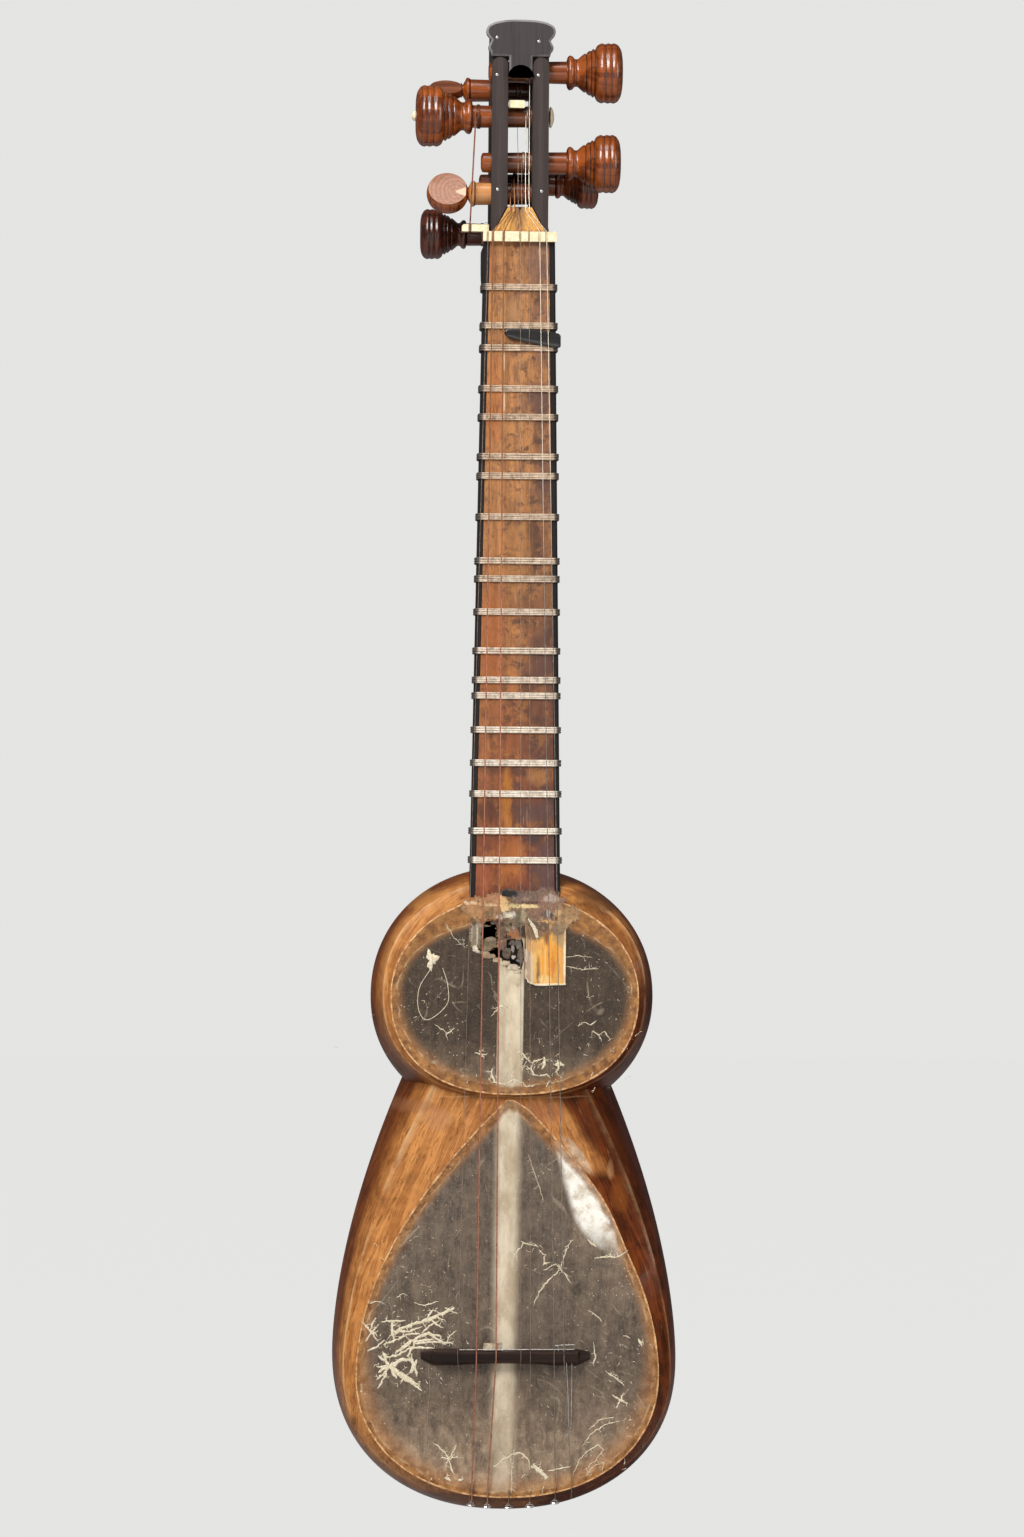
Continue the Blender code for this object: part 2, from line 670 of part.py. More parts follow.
def back_rings(last, depth, shrink_top, steps=7):
    """The rounded back: outlines that shrink along a full curve from the widest one to the pole."""
    rings = []
    for i in range(1, steps):
        angle = math.radians(90 * i / steps)
        drop, size = math.sin(angle) ** 0.9, math.cos(angle) ** 0.9
        flat = last.flat * max(0.0, 1 - 2.5 * i / steps)
        rings.append(last._replace(y=last.y + (depth - last.y) * drop, half=last.half * size,
                                   top=last.top * size ** shrink_top, bottom=last.bottom * size,
                                   flat=flat, root=1 / last.power))
    return rings


class Step(NamedTuple):
    """How far one outline has come from a bowl's rim to its widest outline. 1 is all the way."""

    depth: float
    shift: float      # of the widest line's height
    half: float
    top: float
    bottom: float
    flat: float
    power: float
    round: float


def stepped(rim, widest, steps):
    """The rim, the outlines between it and the widest one, and the widest one."""
    rings = [rim]
    for step in steps:
        shares = {"y": step.depth, "z": step.shift, "half": step.half, "top": step.top, "bottom": step.bottom}
        sizes = {name: getattr(rim, name) + (getattr(widest, name) - getattr(rim, name)) * share
                 for name, share in shares.items()}
        root = 1 if widest.root == 1 else 1 / step.power
        rings.append(Ring(flat=step.flat, power=step.power, root=root, round=step.round, **sizes))
    return rings + [widest]


def upper_rings():
    """Outlines of the upper bowl, front to back: a nearly level band, then a round side."""
    rim = Ring(0.0, UPPER_Z, UPPER_RIM_HALF_WIDTH, UPPER_RIM_TOP, UPPER_RIM_BOTTOM,
               power=2.03, root=1 / 2.03, round=2.32)
    widest = Ring(UPPER_SIDE_DEPTH, UPPER_Z - UPPER_SINK, UPPER_HALF_WIDTH, UPPER_TOP, UPPER_BOTTOM,
                  power=2.1, root=1 / 2.1, round=2.1)
    steps = (Step(0.067, 0.0, 0.40, 0.45, 0.13, 0, 2.2, 2.3),
             Step(0.267, 0.35, 0.626, 0.687, 0.384, 0, 2.2, 2.2),
             Step(0.578, 0.70, 0.907, 0.91, 0.76, 0, 2.1, 2.1))
    return stepped(rim, widest, steps)


def lower_rings():
    """Outlines of the lower bowl: a pointed rim, sloping shoulders to a crease, then a full side."""
    rim = Ring(LOWER_SETBACK, LOWER_Z, LOWER_RIM_HALF_WIDTH, LOWER_RIM_TOP, LOWER_RIM_BOTTOM,
               flat=0.015, power=1.9, root=1, round=2.15)
    widest = Ring(LOWER_SIDE_DEPTH, LOWER_Z + LOWER_RISE, LOWER_HALF_WIDTH, LOWER_TOP, LOWER_BOTTOM,
                  flat=0.52, power=1.7, root=1, round=2.2)
    steps = (Step(0.113, 0.38, 0.569, 0.927, 0.306, 0.42, 1.7, 2.15),
             Step(0.383, 0.70, 0.86, 1.15, 0.653, 0.49, 1.7, 2.2))
    return stepped(rim, widest, steps)


def hollow(rings, depth, ledge_above, shrink_top):
    """The inside of a bowl: the opening through the front, a lip, then the cavity behind it."""
    rim = rings[0]
    mouth = rim._replace(half=rim.half - MOUTH_LEDGE, top=rim.top - ledge_above,
                         bottom=rim.bottom - MOUTH_LEDGE_BELOW)
    inner = [mouth._replace(y=rim.y - WALL), mouth._replace(y=rim.y + LIP)]
    for ring in rings[2:]:
        inner.append(ring._replace(half=ring.half - WALL, top=ring.top - WALL, bottom=ring.bottom - WALL))
    last = inner[-1]
    return inner + back_rings(last, depth - WALL, shrink_top), depth - WALL


def build_body():
    """Both bowls joined at the waist, hollowed, notched for the neck and stick, then sawn in half."""
    upper, lower = upper_rings(), lower_rings()
    shapes = []
    bowls = ((upper, UPPER_DEPTH, UPPER_X, 1.0), (lower, LOWER_DEPTH, LOWER_X, 1.6))
    for rings, depth, shift, shrink in bowls:
        outside = rings + back_rings(rings[-1], depth, shrink)
        pole = (shift, depth, rings[-1].z)
        shapes.append(solid("bowl", *dome([ring_points(r, shift) for r in outside], pole), "bowl_wood"))
    body = shapes[0]
    combine(body, shapes[1], "UNION")
    room, back = hollow(upper, UPPER_DEPTH, UPPER_MOUTH_LEDGE_ABOVE, 1.0)
    cut(body, dome([ring_points(r, UPPER_X) for r in room], (UPPER_X, back, room[-1].z)))
    room, back = hollow(lower, LOWER_DEPTH, LOWER_MOUTH_LEDGE_ABOVE, 1.6)
    cut(body, dome([ring_points(r, LOWER_X) for r in room], (LOWER_X, back, room[-1].z)))
    cut(body, neck_notch())
    cut(body, stick_shape(GAP))
    for name, side in (("bowl_left", LEFT), ("bowl_right", RIGHT)):
        half = copy_of(body, name)
        edge, reach = side * SEAM_GAP / 2, side * 1.3 * LOWER_HALF_WIDTH
        outline = [(edge, -WALL), (reach, -WALL), (reach, LOWER_DEPTH + WALL), (edge, LOWER_DEPTH + WALL)]
        keep = solid("cutter", *prism(outline, "Z", LOWER_Z - LOWER_TOP, UPPER_Z + LOWER_TOP), "bowl_wood")
        combine(half, keep, "INTERSECT")
    bpy.data.objects.remove(body, do_unlink=True)


def copy_of(source, name):
    twin = source.copy()
    twin.data = source.data.copy()
    twin.name = name
    bpy.context.scene.collection.objects.link(twin)
    return twin


def neck_notch():
    """The room that the neck takes in the top of the upper bowl."""
    rings = []
    for z in (-NECK_LENGTH + NOTCH_LENGTH, -NECK_LENGTH - GAP):
        half = neck_half_width(z) + GAP
        section = [(-half, -EDGE_DEPTH), (half, -EDGE_DEPTH)] + neck_back(z, GAP)
        rings.append([(x, y, z) for x, y in section])
    return loft(rings)


def stick_shape(grow):
    """A square stick that leans left and away from the skins on its way to the tail."""
    rings = []
    ends = ((-NECK_LENGTH - GAP + grow, STICK_X_AT_NECK, STICK_FRONT_AT_NECK),
            (STICK_END_Z - grow, STICK_X_AT_TAIL, STICK_FRONT_AT_TAIL))
    for z, x, front in ends:
        left, right = x - STICK_HALF_WIDTH - grow, x + STICK_HALF_WIDTH + grow
        low, high = front - grow, front + STICK_THICKNESS + grow
        rings.append([(left, low, z), (right, low, z), (right, high, z), (left, high, z)])
    return loft(rings)


# Skins and patch

def build_skin(name, ring, shift):
    """A thin skin glued over a rim, as large as the rim itself."""
    back = ring.y - GAP
    rings = [ring_points(ring._replace(y=y), shift) for y in (back - SKIN_THICKNESS, back)]
    return solid(name, *loft(rings), "skin")


def build_skins():
    """Both skins. The upper one has a hole torn in it, given as shares of the hole's width and height."""
    upper = build_skin("skin_upper", upper_rings()[0], UPPER_X)
    shape = ((0.0, 0.54), (0.29, 0.69), (0.62, 0.85), (0.93, 1.0), (1.0, 0.76), (0.98, 0.49), (0.84, 0.16),
             (0.58, 0.0), (0.25, 0.07), (0.04, 0.28))
    tear = [(TEAR_LEFT + TEAR_WIDTH * across, TEAR_TOP - TEAR_HEIGHT * down) for across, down in shape]
    cut(upper, prism(tear, "Y", -WALL, WALL))
    build_skin("skin_lower", lower_rings()[0], LOWER_X)


def build_patch():
    """What is left of the thin plate over the neck's end. Its left half has broken away."""
    back = -2 * GAP - SKIN_THICKNESS
    shape = ((0.0, 0.03), (0.5, 0.0), (1.0, 0.02), (1.0, 0.99), (0.27, 1.0), (0.0, 0.89), (0.03, 0.45))
    outline = [(PATCH_LEFT + PATCH_WIDTH * across, PATCH_TOP - PATCH_HEIGHT * down) for across, down in shape]
    solid("patch_plate", *prism(outline, "Y", back - PATCH_THICKNESS, back), "amber_wood")


def build_stick():
    solid("neck_stick", *stick_shape(0.0), "pale_wood")


# Bridge, plectrum, eyes

def build_bridge():
    """A bar with a sharp crest for the strings, a sloping tail face and two spread feet."""
    seat = LOWER_SETBACK - 2 * GAP - SKIN_THICKNESS
    half, foot = BRIDGE_CREST_HALF, BRIDGE_FOOT_HALF
    rings = []
    right = ((half - 4.0, 1.0, 1.0), (half, 0.96, 1.0), (half + 1.6, 0.42, 0.92), (foot, 0.2, 0.45))
    for x, height, length in [(-x, height, length) for x, height, length in reversed(right)] + list(right):
        top = seat + (BRIDGE_CREST_Y - seat) * height
        long = BRIDGE_FOOT_LENGTH * length
        start = -0.3 * (BRIDGE_FOOT_LENGTH - long)
        section = ((seat, 0.0), (top, 0.06), (top, 0.19), (seat + (top - seat) * 0.72, 0.72), (seat, 1.0))
        rings.append([(x, y, start - long * down) for y, down in section])
    at = (BRIDGE_X, 0.0, BRIDGE_Z)
    bridge = solid("bridge", *loft(rings), "dark_wood", at)
    arch = [(x * BRIDGE_ARCH_HALF, seat + GAP + y * BRIDGE_ARCH_HEIGHT)
            for x, y in arc((0.0, 0.0), 1, 180, 360, 8)]
    cut(bridge, prism(arch, "Z", -2 * BRIDGE_FOOT_LENGTH, 2 * BRIDGE_FOOT_LENGTH), at)


def build_plectrum():
    """A small horn tongue, round at its tip and thick at its held end, kept under the strings."""
    half = PLECTRUM_WIDTH / 2
    tip = half * 0.42
    outline = [(PLECTRUM_LENGTH, -half), (PLECTRUM_LENGTH, half), (PLECTRUM_LENGTH * 0.45, half * 0.78)]
    outline += arc((tip, 0.0), tip, 75, 285, 7) + [(PLECTRUM_LENGTH * 0.45, -half * 0.82)]
    tilt = math.radians(-7.5)
    turned_outline = [(x * math.cos(tilt) - z * math.sin(tilt), x * math.sin(tilt) + z * math.cos(tilt))
                      for x, z in outline]
    back = -GAP - STRAND_HEIGHT - GAP
    solid("plectrum", *prism(turned_outline, "Y", back - PLECTRUM_THICKNESS, back), "horn",
          at=(PLECTRUM_TIP[0], 0.0, PLECTRUM_TIP[1]))


def tail_surface(x, y):
    """Height of the lower bowl's tail end at one place across and one depth."""
    rings = lower_rings()
    for near, far in zip(rings, rings[1:]):
        if near.y <= y <= far.y:
            t = (y - near.y) / (far.y - near.y)
            heights = []
            for ring in (near, far):
                share = min(1.0, abs(x - LOWER_X) / ring.half)
                heights.append(ring.z - ring.bottom * (1 - share ** ring.round) ** (1 / ring.round))
            return heights[0] + (heights[1] - heights[0]) * t
    return rings[0].z - rings[0].bottom


def build_eye(number, x):
    """A wire eye in the tail that a string is hitched to: a ring on a short shank."""
    tilt = math.radians(EYE_TILT)
    back = EYE_RADIUS * math.cos(tilt)
    surface = tail_surface(x, EYE_Y + back + EYE_WIRE)
    centre_z = -EYE_RADIUS * math.sin(tilt) - EYE_DROP
    points, faces, around, across = [], [], 12, 5
    for i in range(around):
        a = 2 * math.pi * i / around
        for j in range(across):
            b = 2 * math.pi * j / across
            r = EYE_RADIUS + EYE_WIRE * math.cos(b)
            flat = (r * math.cos(a), r * math.sin(a), EYE_WIRE * math.sin(b))
            y = flat[1] * math.cos(tilt) + flat[2] * math.sin(tilt)
            z = flat[1] * math.sin(tilt) - flat[2] * math.cos(tilt)
            points.append((flat[0], y, z + centre_z))
    for i in range(around):
        for j in range(across):
            k, m = (i + 1) % around, (j + 1) % across
            faces.append((i * across + j, i * across + m, k * across + m, k * across + j))
    eye = solid(f"tail_eye_{number}", points, faces, "steel", at=(x, EYE_Y, surface))
    shank = [(-EYE_DROP, EYE_WIRE * 0.9), (-GAP, EYE_WIRE * 0.9)]
    post = solid("cutter", *turned(shank, "Z", 8), "steel", at=(x, EYE_Y + back, surface))
    combine(eye, post, "UNION")


# Strings

class String(NamedTuple):
    """One string: where it crosses the nut and bridge, its tail end, and the peg it winds on."""

    name: str
    radius: float
    finish: str
    nut_x: float
    bridge_x: float
    tail_x: float
    slot_x: float
    peg: str


STRINGS = (
    String("string_1", STEEL_RADIUS, "steel", -18.2, -31.2, -23.6, 0.0, "peg_l4"),
    String("string_2", COPPER_RADIUS, "copper", -15.4, -20.5, -22.2, -5.4, "peg_l3"),
    String("string_3", COPPER_RADIUS, "copper", -9.2, -9.3, -13.2, -3.0, "peg_r3"),
    String("string_4", STEEL_RADIUS, "steel", 0.4, 4.9, -1.1, -0.9, "peg_l2"),
    String("string_5", STEEL_RADIUS, "steel", 5.4, 10.3, 11.0, 1.2, "peg_r2"),
    String("string_6", STEEL_RADIUS, "steel", 11.4, 23.8, 25.6, 3.4, "peg_l1"),
    String("string_7", STEEL_RADIUS, "steel", 15.4, 29.5, 34.9, 5.4, "peg_r1"),
)
EYES_X = (-22.5, -13.3, -1.1, 11.2, 25.6)
SIDE_STRING_X = -28.4
PLECTRUM_TIP = (-8.6, -55.0)


def tube(name, route, radius, finish, sides=6):
    """A cord of round section through the given points, closed at both ends."""
    path = [Vector(p) for p in route]
    rings = []
    for i, here in enumerate(path):
        before, after = path[max(i - 1, 0)], path[min(i + 1, len(path) - 1)]
        along = (after - before).normalized()
        across = along.cross(Vector((1, 0, 0))).normalized()
        other = along.cross(across)
        ring = []
        for j in range(sides):
            angle = 2 * math.pi * j / sides
            ring.append(tuple(here + radius * (math.cos(angle) * across + math.sin(angle) * other)))
        rings.append(ring)
    solid(name, *loft(rings), finish)


def peg_end(string):
    """The last part of a string, from the fingerboard's point to its peg inside the slot."""
    peg = PEG[string.peg]
    x = string.slot_x
    clear = shaft_radius(peg, x) + GAP + string.radius
    front = FRONT_ROW - SHAFT_RADIUS - GAP - string.radius
    low = PEG["peg_l3"].z
    if peg.name == "peg_l3":
        return [(x, peg.y - clear, peg.z)]
    if peg.y == FRONT_ROW:
        return [(x, front, low), (x, peg.y - clear, peg.z)]
    passed = PEG["peg_l3"] if peg.name == "peg_r3" else PEG["peg_r2"]
    above = passed.z + SHAFT_RADIUS
    return [(x, front, low), (x, front, passed.z + 2.5), (x, FRONT_ROW, above + 2.8 + string.radius),
            (x, peg.y - clear, peg.z)]


def side_route(string):
    """The outer left string passes over the little bone bar and back to its peg beside the cheek."""
    peg = PEG[string.peg]
    x, radius = string.nut_x, string.radius
    over = SIDE_NUT_Z + SIDE_NUT_HEIGHT / 2 + GAP + radius
    reach = SHAFT_RADIUS + GAP + radius
    return [(x, SIDE_NUT_FRONT - GAP - radius - 0.4, over), (x, SIDE_NUT_FRONT + SIDE_NUT_DEPTH, over + 1.0),
            (x, peg.y, peg.z + reach + 0.1)]


def string_route(string):
    """From the tail over the rim, the bridge and the nut, and into the pegbox."""
    radius = string.radius
    skin_face = LOWER_SETBACK - GAP - SKIN_THICKNESS
    over = skin_face - GAP - radius
    tail = string.tail_x
    rim = tail_surface(tail, LOWER_SETBACK)
    tilt = math.radians(EYE_TILT)
    end_y = EYE_Y - EYE_RADIUS * math.cos(tilt) - EYE_WIRE - GAP - radius
    end_z = tail_surface(tail, EYE_Y + EYE_RADIUS) - EYE_DROP - 2 * EYE_RADIUS * math.sin(tilt)
    route = [(tail, end_y, end_z), (tail, over, rim - 0.5 * radius), (tail, over - 0.5, rim + 2.5)]
    route += [(string.bridge_x, STRING_AT_BRIDGE_Y, BRIDGE_Z - BRIDGE_FOOT_LENGTH / 2),
              (string.bridge_x, STRING_AT_BRIDGE_Y, BRIDGE_Z)]
    nut_y = STRING_AT_NUT_Y
    route += [(string.nut_x, nut_y, -NUT_HEIGHT / 2), (string.nut_x, nut_y, NUT_HEIGHT / 2)]
    if string.peg == "peg_l4":
        return route + side_route(string)
    lip = BOARD_POINT_HEIGHT
    route += [(string.slot_x, -GAP - radius - 0.3, lip - 2.0), (string.slot_x, -GAP - radius, lip + 0.6)]
    return route + peg_end(string)


def build_strings():
    for string in STRINGS:
        tube(string.name, string_route(string), string.radius, string.finish)
    top, low = PEG["peg_l1"], PEG["peg_l4"]
    clear = SHAFT_RADIUS + 0.35 + GAP + COPPER_RADIUS
    x = SIDE_STRING_X
    front = SIDE_NUT_FRONT + 0.6 - GAP - COPPER_RADIUS
    under = SIDE_NUT_Z - SIDE_NUT_HEIGHT / 2 - GAP - COPPER_RADIUS
    route = [(x + 3.0, top.y - clear, top.z + 2.0), (x + 2.9, top.y - clear - 0.1, top.z - 3.0),
             (x, front, SIDE_NUT_Z + 2.0), (x, front, under + 0.8), (x, front + 1.2, under - 0.2),
             (x, 9.0, under - 0.4), (x, low.y - clear - 1.6, low.z - 3.6)]
    tube("string_side", route, COPPER_RADIUS, "copper")


def build_all():
    clear_scene()
    build_neck()
    build_fingerboard()
    build_neck_edge("neck_edge_left", LEFT)
    build_neck_edge("neck_edge_right", RIGHT)
    for number, cents in enumerate(FRET_CENTS, start=1):
        build_fret(number, cents)
    build_pegbox()
    build_front_strip("front_strip_left", LEFT)
    build_front_strip("front_strip_right", RIGHT)
    build_head_cap()
    build_nut()
    build_side_nut()
    build_slot_guide()
    for peg in PEGS:
        build_peg(peg)
    build_peg_buttons()
    build_body()
    build_stick()
    build_skins()
    build_patch()
    build_bridge()
    build_plectrum()
    for number, x in enumerate(EYES_X, start=1):
        build_eye(number, x)
    build_strings()


build_all()
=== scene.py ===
# %% [markdown]
# # A long-necked lute, dressed
#
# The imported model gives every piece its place, its size and the body that it moves with. This script dresses it:
# it gives each piece a material that looks like the real thing, swaps the coarse bowls, pegs, frets and strings
# for smoother ones of the same shape, and adds what is too small for the CAD model, such as nails, staples, loose
# threads and the cracks in the skins. Lengths are in millimetres until a mesh is made.

# %%
import math
import random

import bpy
from mathutils import Matrix, Vector


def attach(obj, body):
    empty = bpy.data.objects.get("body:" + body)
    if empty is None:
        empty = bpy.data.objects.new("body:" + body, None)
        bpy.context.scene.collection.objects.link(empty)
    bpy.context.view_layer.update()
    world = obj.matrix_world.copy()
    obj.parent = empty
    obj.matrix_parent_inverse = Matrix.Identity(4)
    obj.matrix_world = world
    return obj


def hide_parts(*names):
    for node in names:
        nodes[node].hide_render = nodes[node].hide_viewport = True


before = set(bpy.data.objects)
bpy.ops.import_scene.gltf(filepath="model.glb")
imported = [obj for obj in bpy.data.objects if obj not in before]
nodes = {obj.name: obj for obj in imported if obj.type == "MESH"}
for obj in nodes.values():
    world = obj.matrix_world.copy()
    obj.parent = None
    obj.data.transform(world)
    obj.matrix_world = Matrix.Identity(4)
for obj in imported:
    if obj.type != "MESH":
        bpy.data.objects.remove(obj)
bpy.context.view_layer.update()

MM = 0.001

# %% [markdown]
# ## Writing materials as sums
#
# A material is a graph of nodes, but most of what it says is arithmetic: grain plus stain times wear. This class
# wraps one socket, so that such a sum can be written as one. `node` makes every other kind of node.

# %%
class Wire:
    """One output socket, with arithmetic. Each operator adds a Math node to the same tree."""

    def __init__(self, tree, socket):
        self.tree, self.socket = tree, socket

    def node(self, kind, settings=(), inputs=(), out=0):
        """Any node, from its type, its settings, and its sockets' values or links."""
        made = self.tree.nodes.new(kind)
        for name, value in dict(settings).items():
            setattr(made, name, value)
        for name, value in dict(inputs).items():
            if isinstance(value, Wire):
                self.tree.links.new(value.socket, made.inputs[name])
            elif value is not None:
                made.inputs[name].default_value = value
        return Wire(self.tree, made.outputs[out])

    def math(self, operation, *values, clamp=False):
        return self.node("ShaderNodeMath", {"operation": operation, "use_clamp": clamp}, dict(enumerate(values)))

    def __add__(self, other): return self.math("ADD", self, other)
    def __radd__(self, other): return self.math("ADD", other, self)
    def __sub__(self, other): return self.math("SUBTRACT", self, other)
    def __rsub__(self, other): return self.math("SUBTRACT", other, self)
    def __mul__(self, other): return self.math("MULTIPLY", self, other)
    def __rmul__(self, other): return self.math("MULTIPLY", other, self)
    def __truediv__(self, other): return self.math("DIVIDE", self, other)
    def __rtruediv__(self, other): return self.math("DIVIDE", other, self)
    def __pow__(self, other): return self.math("POWER", self, other)
    def __abs__(self): return self.math("ABSOLUTE", self)
    def clamp(self): return self.math("ADD", self, 0.0, clamp=True)
    def least(self, other): return self.math("MINIMUM", self, other)
    def most(self, other): return self.math("MAXIMUM", self, other)

    def ramp(self, low, high, start=0.0, end=1.0):
        """A soft step: start below low, end above high."""
        return self.node("ShaderNodeMapRange", {"interpolation_type": "SMOOTHSTEP"},
                         {0: self, 1: low, 2: high, 3: start, 4: end})

    def band(self, middle, half, soft):
        """1 within half of the middle, fading to 0 over a soft edge."""
        return abs(self - middle).ramp(half - soft, half + soft, 1.0, 0.0)

    def blend(self, first, second):
        """A colour between two others, by this value."""
        pair = [(*c, 1.0) if isinstance(c, tuple) else c for c in (first, second)]
        return self.node("ShaderNodeMix", {"data_type": "RGBA", "clamp_factor": True},
                         {0: self, 6: pair[0], 7: pair[1]}, out=2)

    def scaled(self, factors):
        """This vector with each axis multiplied by its own factor."""
        return self.node("ShaderNodeVectorMath", {"operation": "MULTIPLY"}, {0: self, 1: factors})

    def joined(self, second, third):
        """A vector from three values."""
        return self.node("ShaderNodeCombineXYZ", {}, {0: self, 1: second, 2: third})

    def noise(self, scale, detail=3.0, rough=0.55, warp=0.0):
        inputs = {"Vector": self, "Scale": scale, "Detail": detail, "Roughness": rough, "Distortion": warp}
        return self.node("ShaderNodeTexNoise", {}, inputs, out=0)

    def cells(self, scale, feature="F1", out="Distance"):
        return self.node("ShaderNodeTexVoronoi", {"feature": feature}, {"Vector": self, "Scale": scale}, out=out)

    def bent(self, scale, amount):
        """This vector pushed about by noise, so that what is drawn on it stops looking ruled."""
        push = self.node("ShaderNodeTexNoise", {}, {"Vector": self, "Scale": scale, "Detail": 3.0}, "Color")
        drift = push.node("ShaderNodeVectorMath", {"operation": "SUBTRACT"}, {0: push, 1: (0.5, 0.5, 0.5)})
        return self.node("ShaderNodeVectorMath", {"operation": "MULTIPLY_ADD"},
                         {0: drift, 1: (amount, amount, amount), 2: self})

    def axes(self):
        """X, Y and Z of this vector as three wires."""
        parts = self.node("ShaderNodeSeparateXYZ", {}, {0: self}).socket.node
        return [Wire(self.tree, s) for s in parts.outputs]


PIXEL = 0.572
NUT_ROW, AXIS_AT_NUT, AXIS_LEAN = 237.0, 521.0, 9.0 / 1268.0


def photo_x(px, row):
    """Millimetres right of the centre line, from a place in the photograph."""
    return (px - (AXIS_AT_NUT - (row - NUT_ROW) * AXIS_LEAN)) * PIXEL


def photo_z(row):
    return (NUT_ROW - row) * PIXEL


def blots(place, colour, marks, ragged=0.5, soft=0.6, stretch=(1.0, 1.0, 1.0), wild=3.6):
    """Soft ragged ovals of colour, one over the other. Each mark: middle and half sizes in the photograph's
    pixels, colour, share. Returns the colour and how much of the place is covered."""
    x, _, z = place.axes()
    edge, cover = (place.scaled(stretch).noise(ragged, 4.0, 0.7) - 0.5) * wild, None
    for px, row, half, up, tone, share in marks:
        across, along = (x - photo_x(px, row)) / (half * PIXEL), (z - photo_z(row)) / (up * PIXEL)
        here = (across * across + along * along + edge).ramp(1.1 - soft, 1.1 + soft, share, 0.0)
        colour = here.blend(colour, tone)
        cover = here if cover is None else cover.most(here)
    return colour, cover


def finish(name, paint, **constants):
    """A material: paint gets the place on the piece in millimetres and returns what varies."""
    made = bpy.data.materials.new(name)
    made.use_nodes = True
    tree = made.node_tree
    shader = tree.nodes["Principled BSDF"]
    for socket, value in constants.items():
        shader.inputs[socket.replace("_", " ")].default_value = value
    start = Wire(tree, tree.nodes.new("ShaderNodeTexCoord").outputs["Object"])
    look = paint(start.scaled((1000.0, 1000.0, 1000.0)))
    height = look.pop("height", None)
    if height is not None:
        strength, distance, wire = height
        bump = start.node("ShaderNodeBump", {}, {"Strength": strength, "Distance": distance * MM, "Height": wire})
        look["Normal"] = bump
    for socket, value in look.items():
        if isinstance(value, Wire):
            tree.links.new(value.socket, shader.inputs[socket])
        else:
            shader.inputs[socket].default_value = (*value, 1.0) if isinstance(value, tuple) else value
    return made


# %% [markdown]
# ## Wood
#
# Wood has long fibres, so its noise is stretched along the grain. On top come the slower growth lines and the
# pores as short dark strokes. Old wood is also darker where hands and dust reach it. `marks` is for what one
# piece alone has, such as the dirt in a turned groove.

# %%
def fibres(place, along, fine=1.6):
    """Stretched noise along one axis: the fibres, and the pores as short dark strokes."""
    squeeze = {"X": (0.05, 1.0, 1.0), "Y": (1.0, 0.05, 1.0), "Z": (1.0, 1.0, 0.05)}[along]
    stretched = place.scaled(squeeze)
    fibre = stretched.noise(fine, 4.0, 0.6)
    pore = stretched.noise(fine * 2.4, 1.0, 0.4).ramp(0.60, 0.70)
    return fibre, pore, stretched


def wood(name, light, dark, along="Z", rough=0.45, coat=0.0, wear=0.35, worn=None, marks=None, grain=1.0):
    """A wood from its light and dark tones, the direction of its grain and how strong the grain is."""
    def paint(place):
        fibre, pore, stretched = fibres(place, along)
        growth = stretched.noise(0.12, 2.0, 0.5, 0.6)
        rings = (growth * 14.0).math("SINE", growth * 14.0) * 0.5 + 0.5
        tone = (fibre * 0.55 + rings * 0.45 - 0.5) * grain + 0.5
        colour = tone.ramp(0.22, 0.82).blend(dark, light)
        colour = (pore * 0.5 * grain).blend(colour, tuple(c * 0.45 for c in dark))
        patch = place.noise(0.028, 3.0, 0.6).ramp(0.45, 0.72)
        colour = (patch * wear).blend(colour, worn or tuple(c * 0.6 for c in dark))
        if marks:
            colour = marks(place, colour)
        shine = rough + (place.noise(0.09, 3.0) - 0.5) * 0.25 + pore * 0.1
        return {"Base Color": colour, "Roughness": shine.clamp(), "height": (0.2, 0.12, (fibre - pore * 0.7) * grain)}
    return finish(name, paint, Coat_Weight=coat, Coat_Roughness=0.26, Specular_IOR_Level=0.30)


# Painted shade: the near black of the stick's end inside the body.
INSIDE_SHADE = (0.012, 0.009, 0.008)


def shaded_end(place, colour):
    """The stick's upper end stands in the dark inside of the body: it is painted nearly black as shade, with a lighter
    web over it.
    """
    inside = place.axes()[2].ramp(-432.0, -419.0)
    web = place.noise(0.35, 3.0, 0.7).ramp(0.62, 0.70)
    return (inside * 0.97).blend(colour, web.blend(INSIDE_SHADE, (0.13, 0.11, 0.10)))


EBONY = wood("ebony", (0.040, 0.028, 0.025), (0.018, 0.013, 0.012), rough=0.48, coat=0.06, wear=0.2, grain=0.45,
             worn=(0.056, 0.043, 0.039))
NECK_WOOD = wood("neck_wood", (0.10, 0.048, 0.026), (0.036, 0.018, 0.012), rough=0.36, coat=0.4, wear=0.5)
STICK_WOOD = wood("stick_wood", (0.66, 0.54, 0.36), (0.48, 0.36, 0.22), rough=0.7, marks=shaded_end)
BRIDGE_WOOD = wood("bridge_wood", (0.044, 0.020, 0.013), (0.016, 0.008, 0.006), "X", rough=0.5, wear=0.4)
print("plain woods made")

# %% [markdown]
# ## The body's wood
#
# Each bowl is carved from one log of mulberry, split and hollowed, so the growth lines run round the rim of the
# upper bowl and down the shoulders of the lower one. The shoulders in front of the crease are painted golden, and the
# sides behind it darker. Painted shade darkens the right side and the foot of each bowl, where the light falls off,
# and the crease carries a light line of wear and painted highlight. The two halves are glued along the middle, and
# the glue line shows as a thin dark stroke.

# %%
UPPER_MIDDLE = (0.3, -433.6)
LOWER_MIDDLE = (-2.3, -650.9)


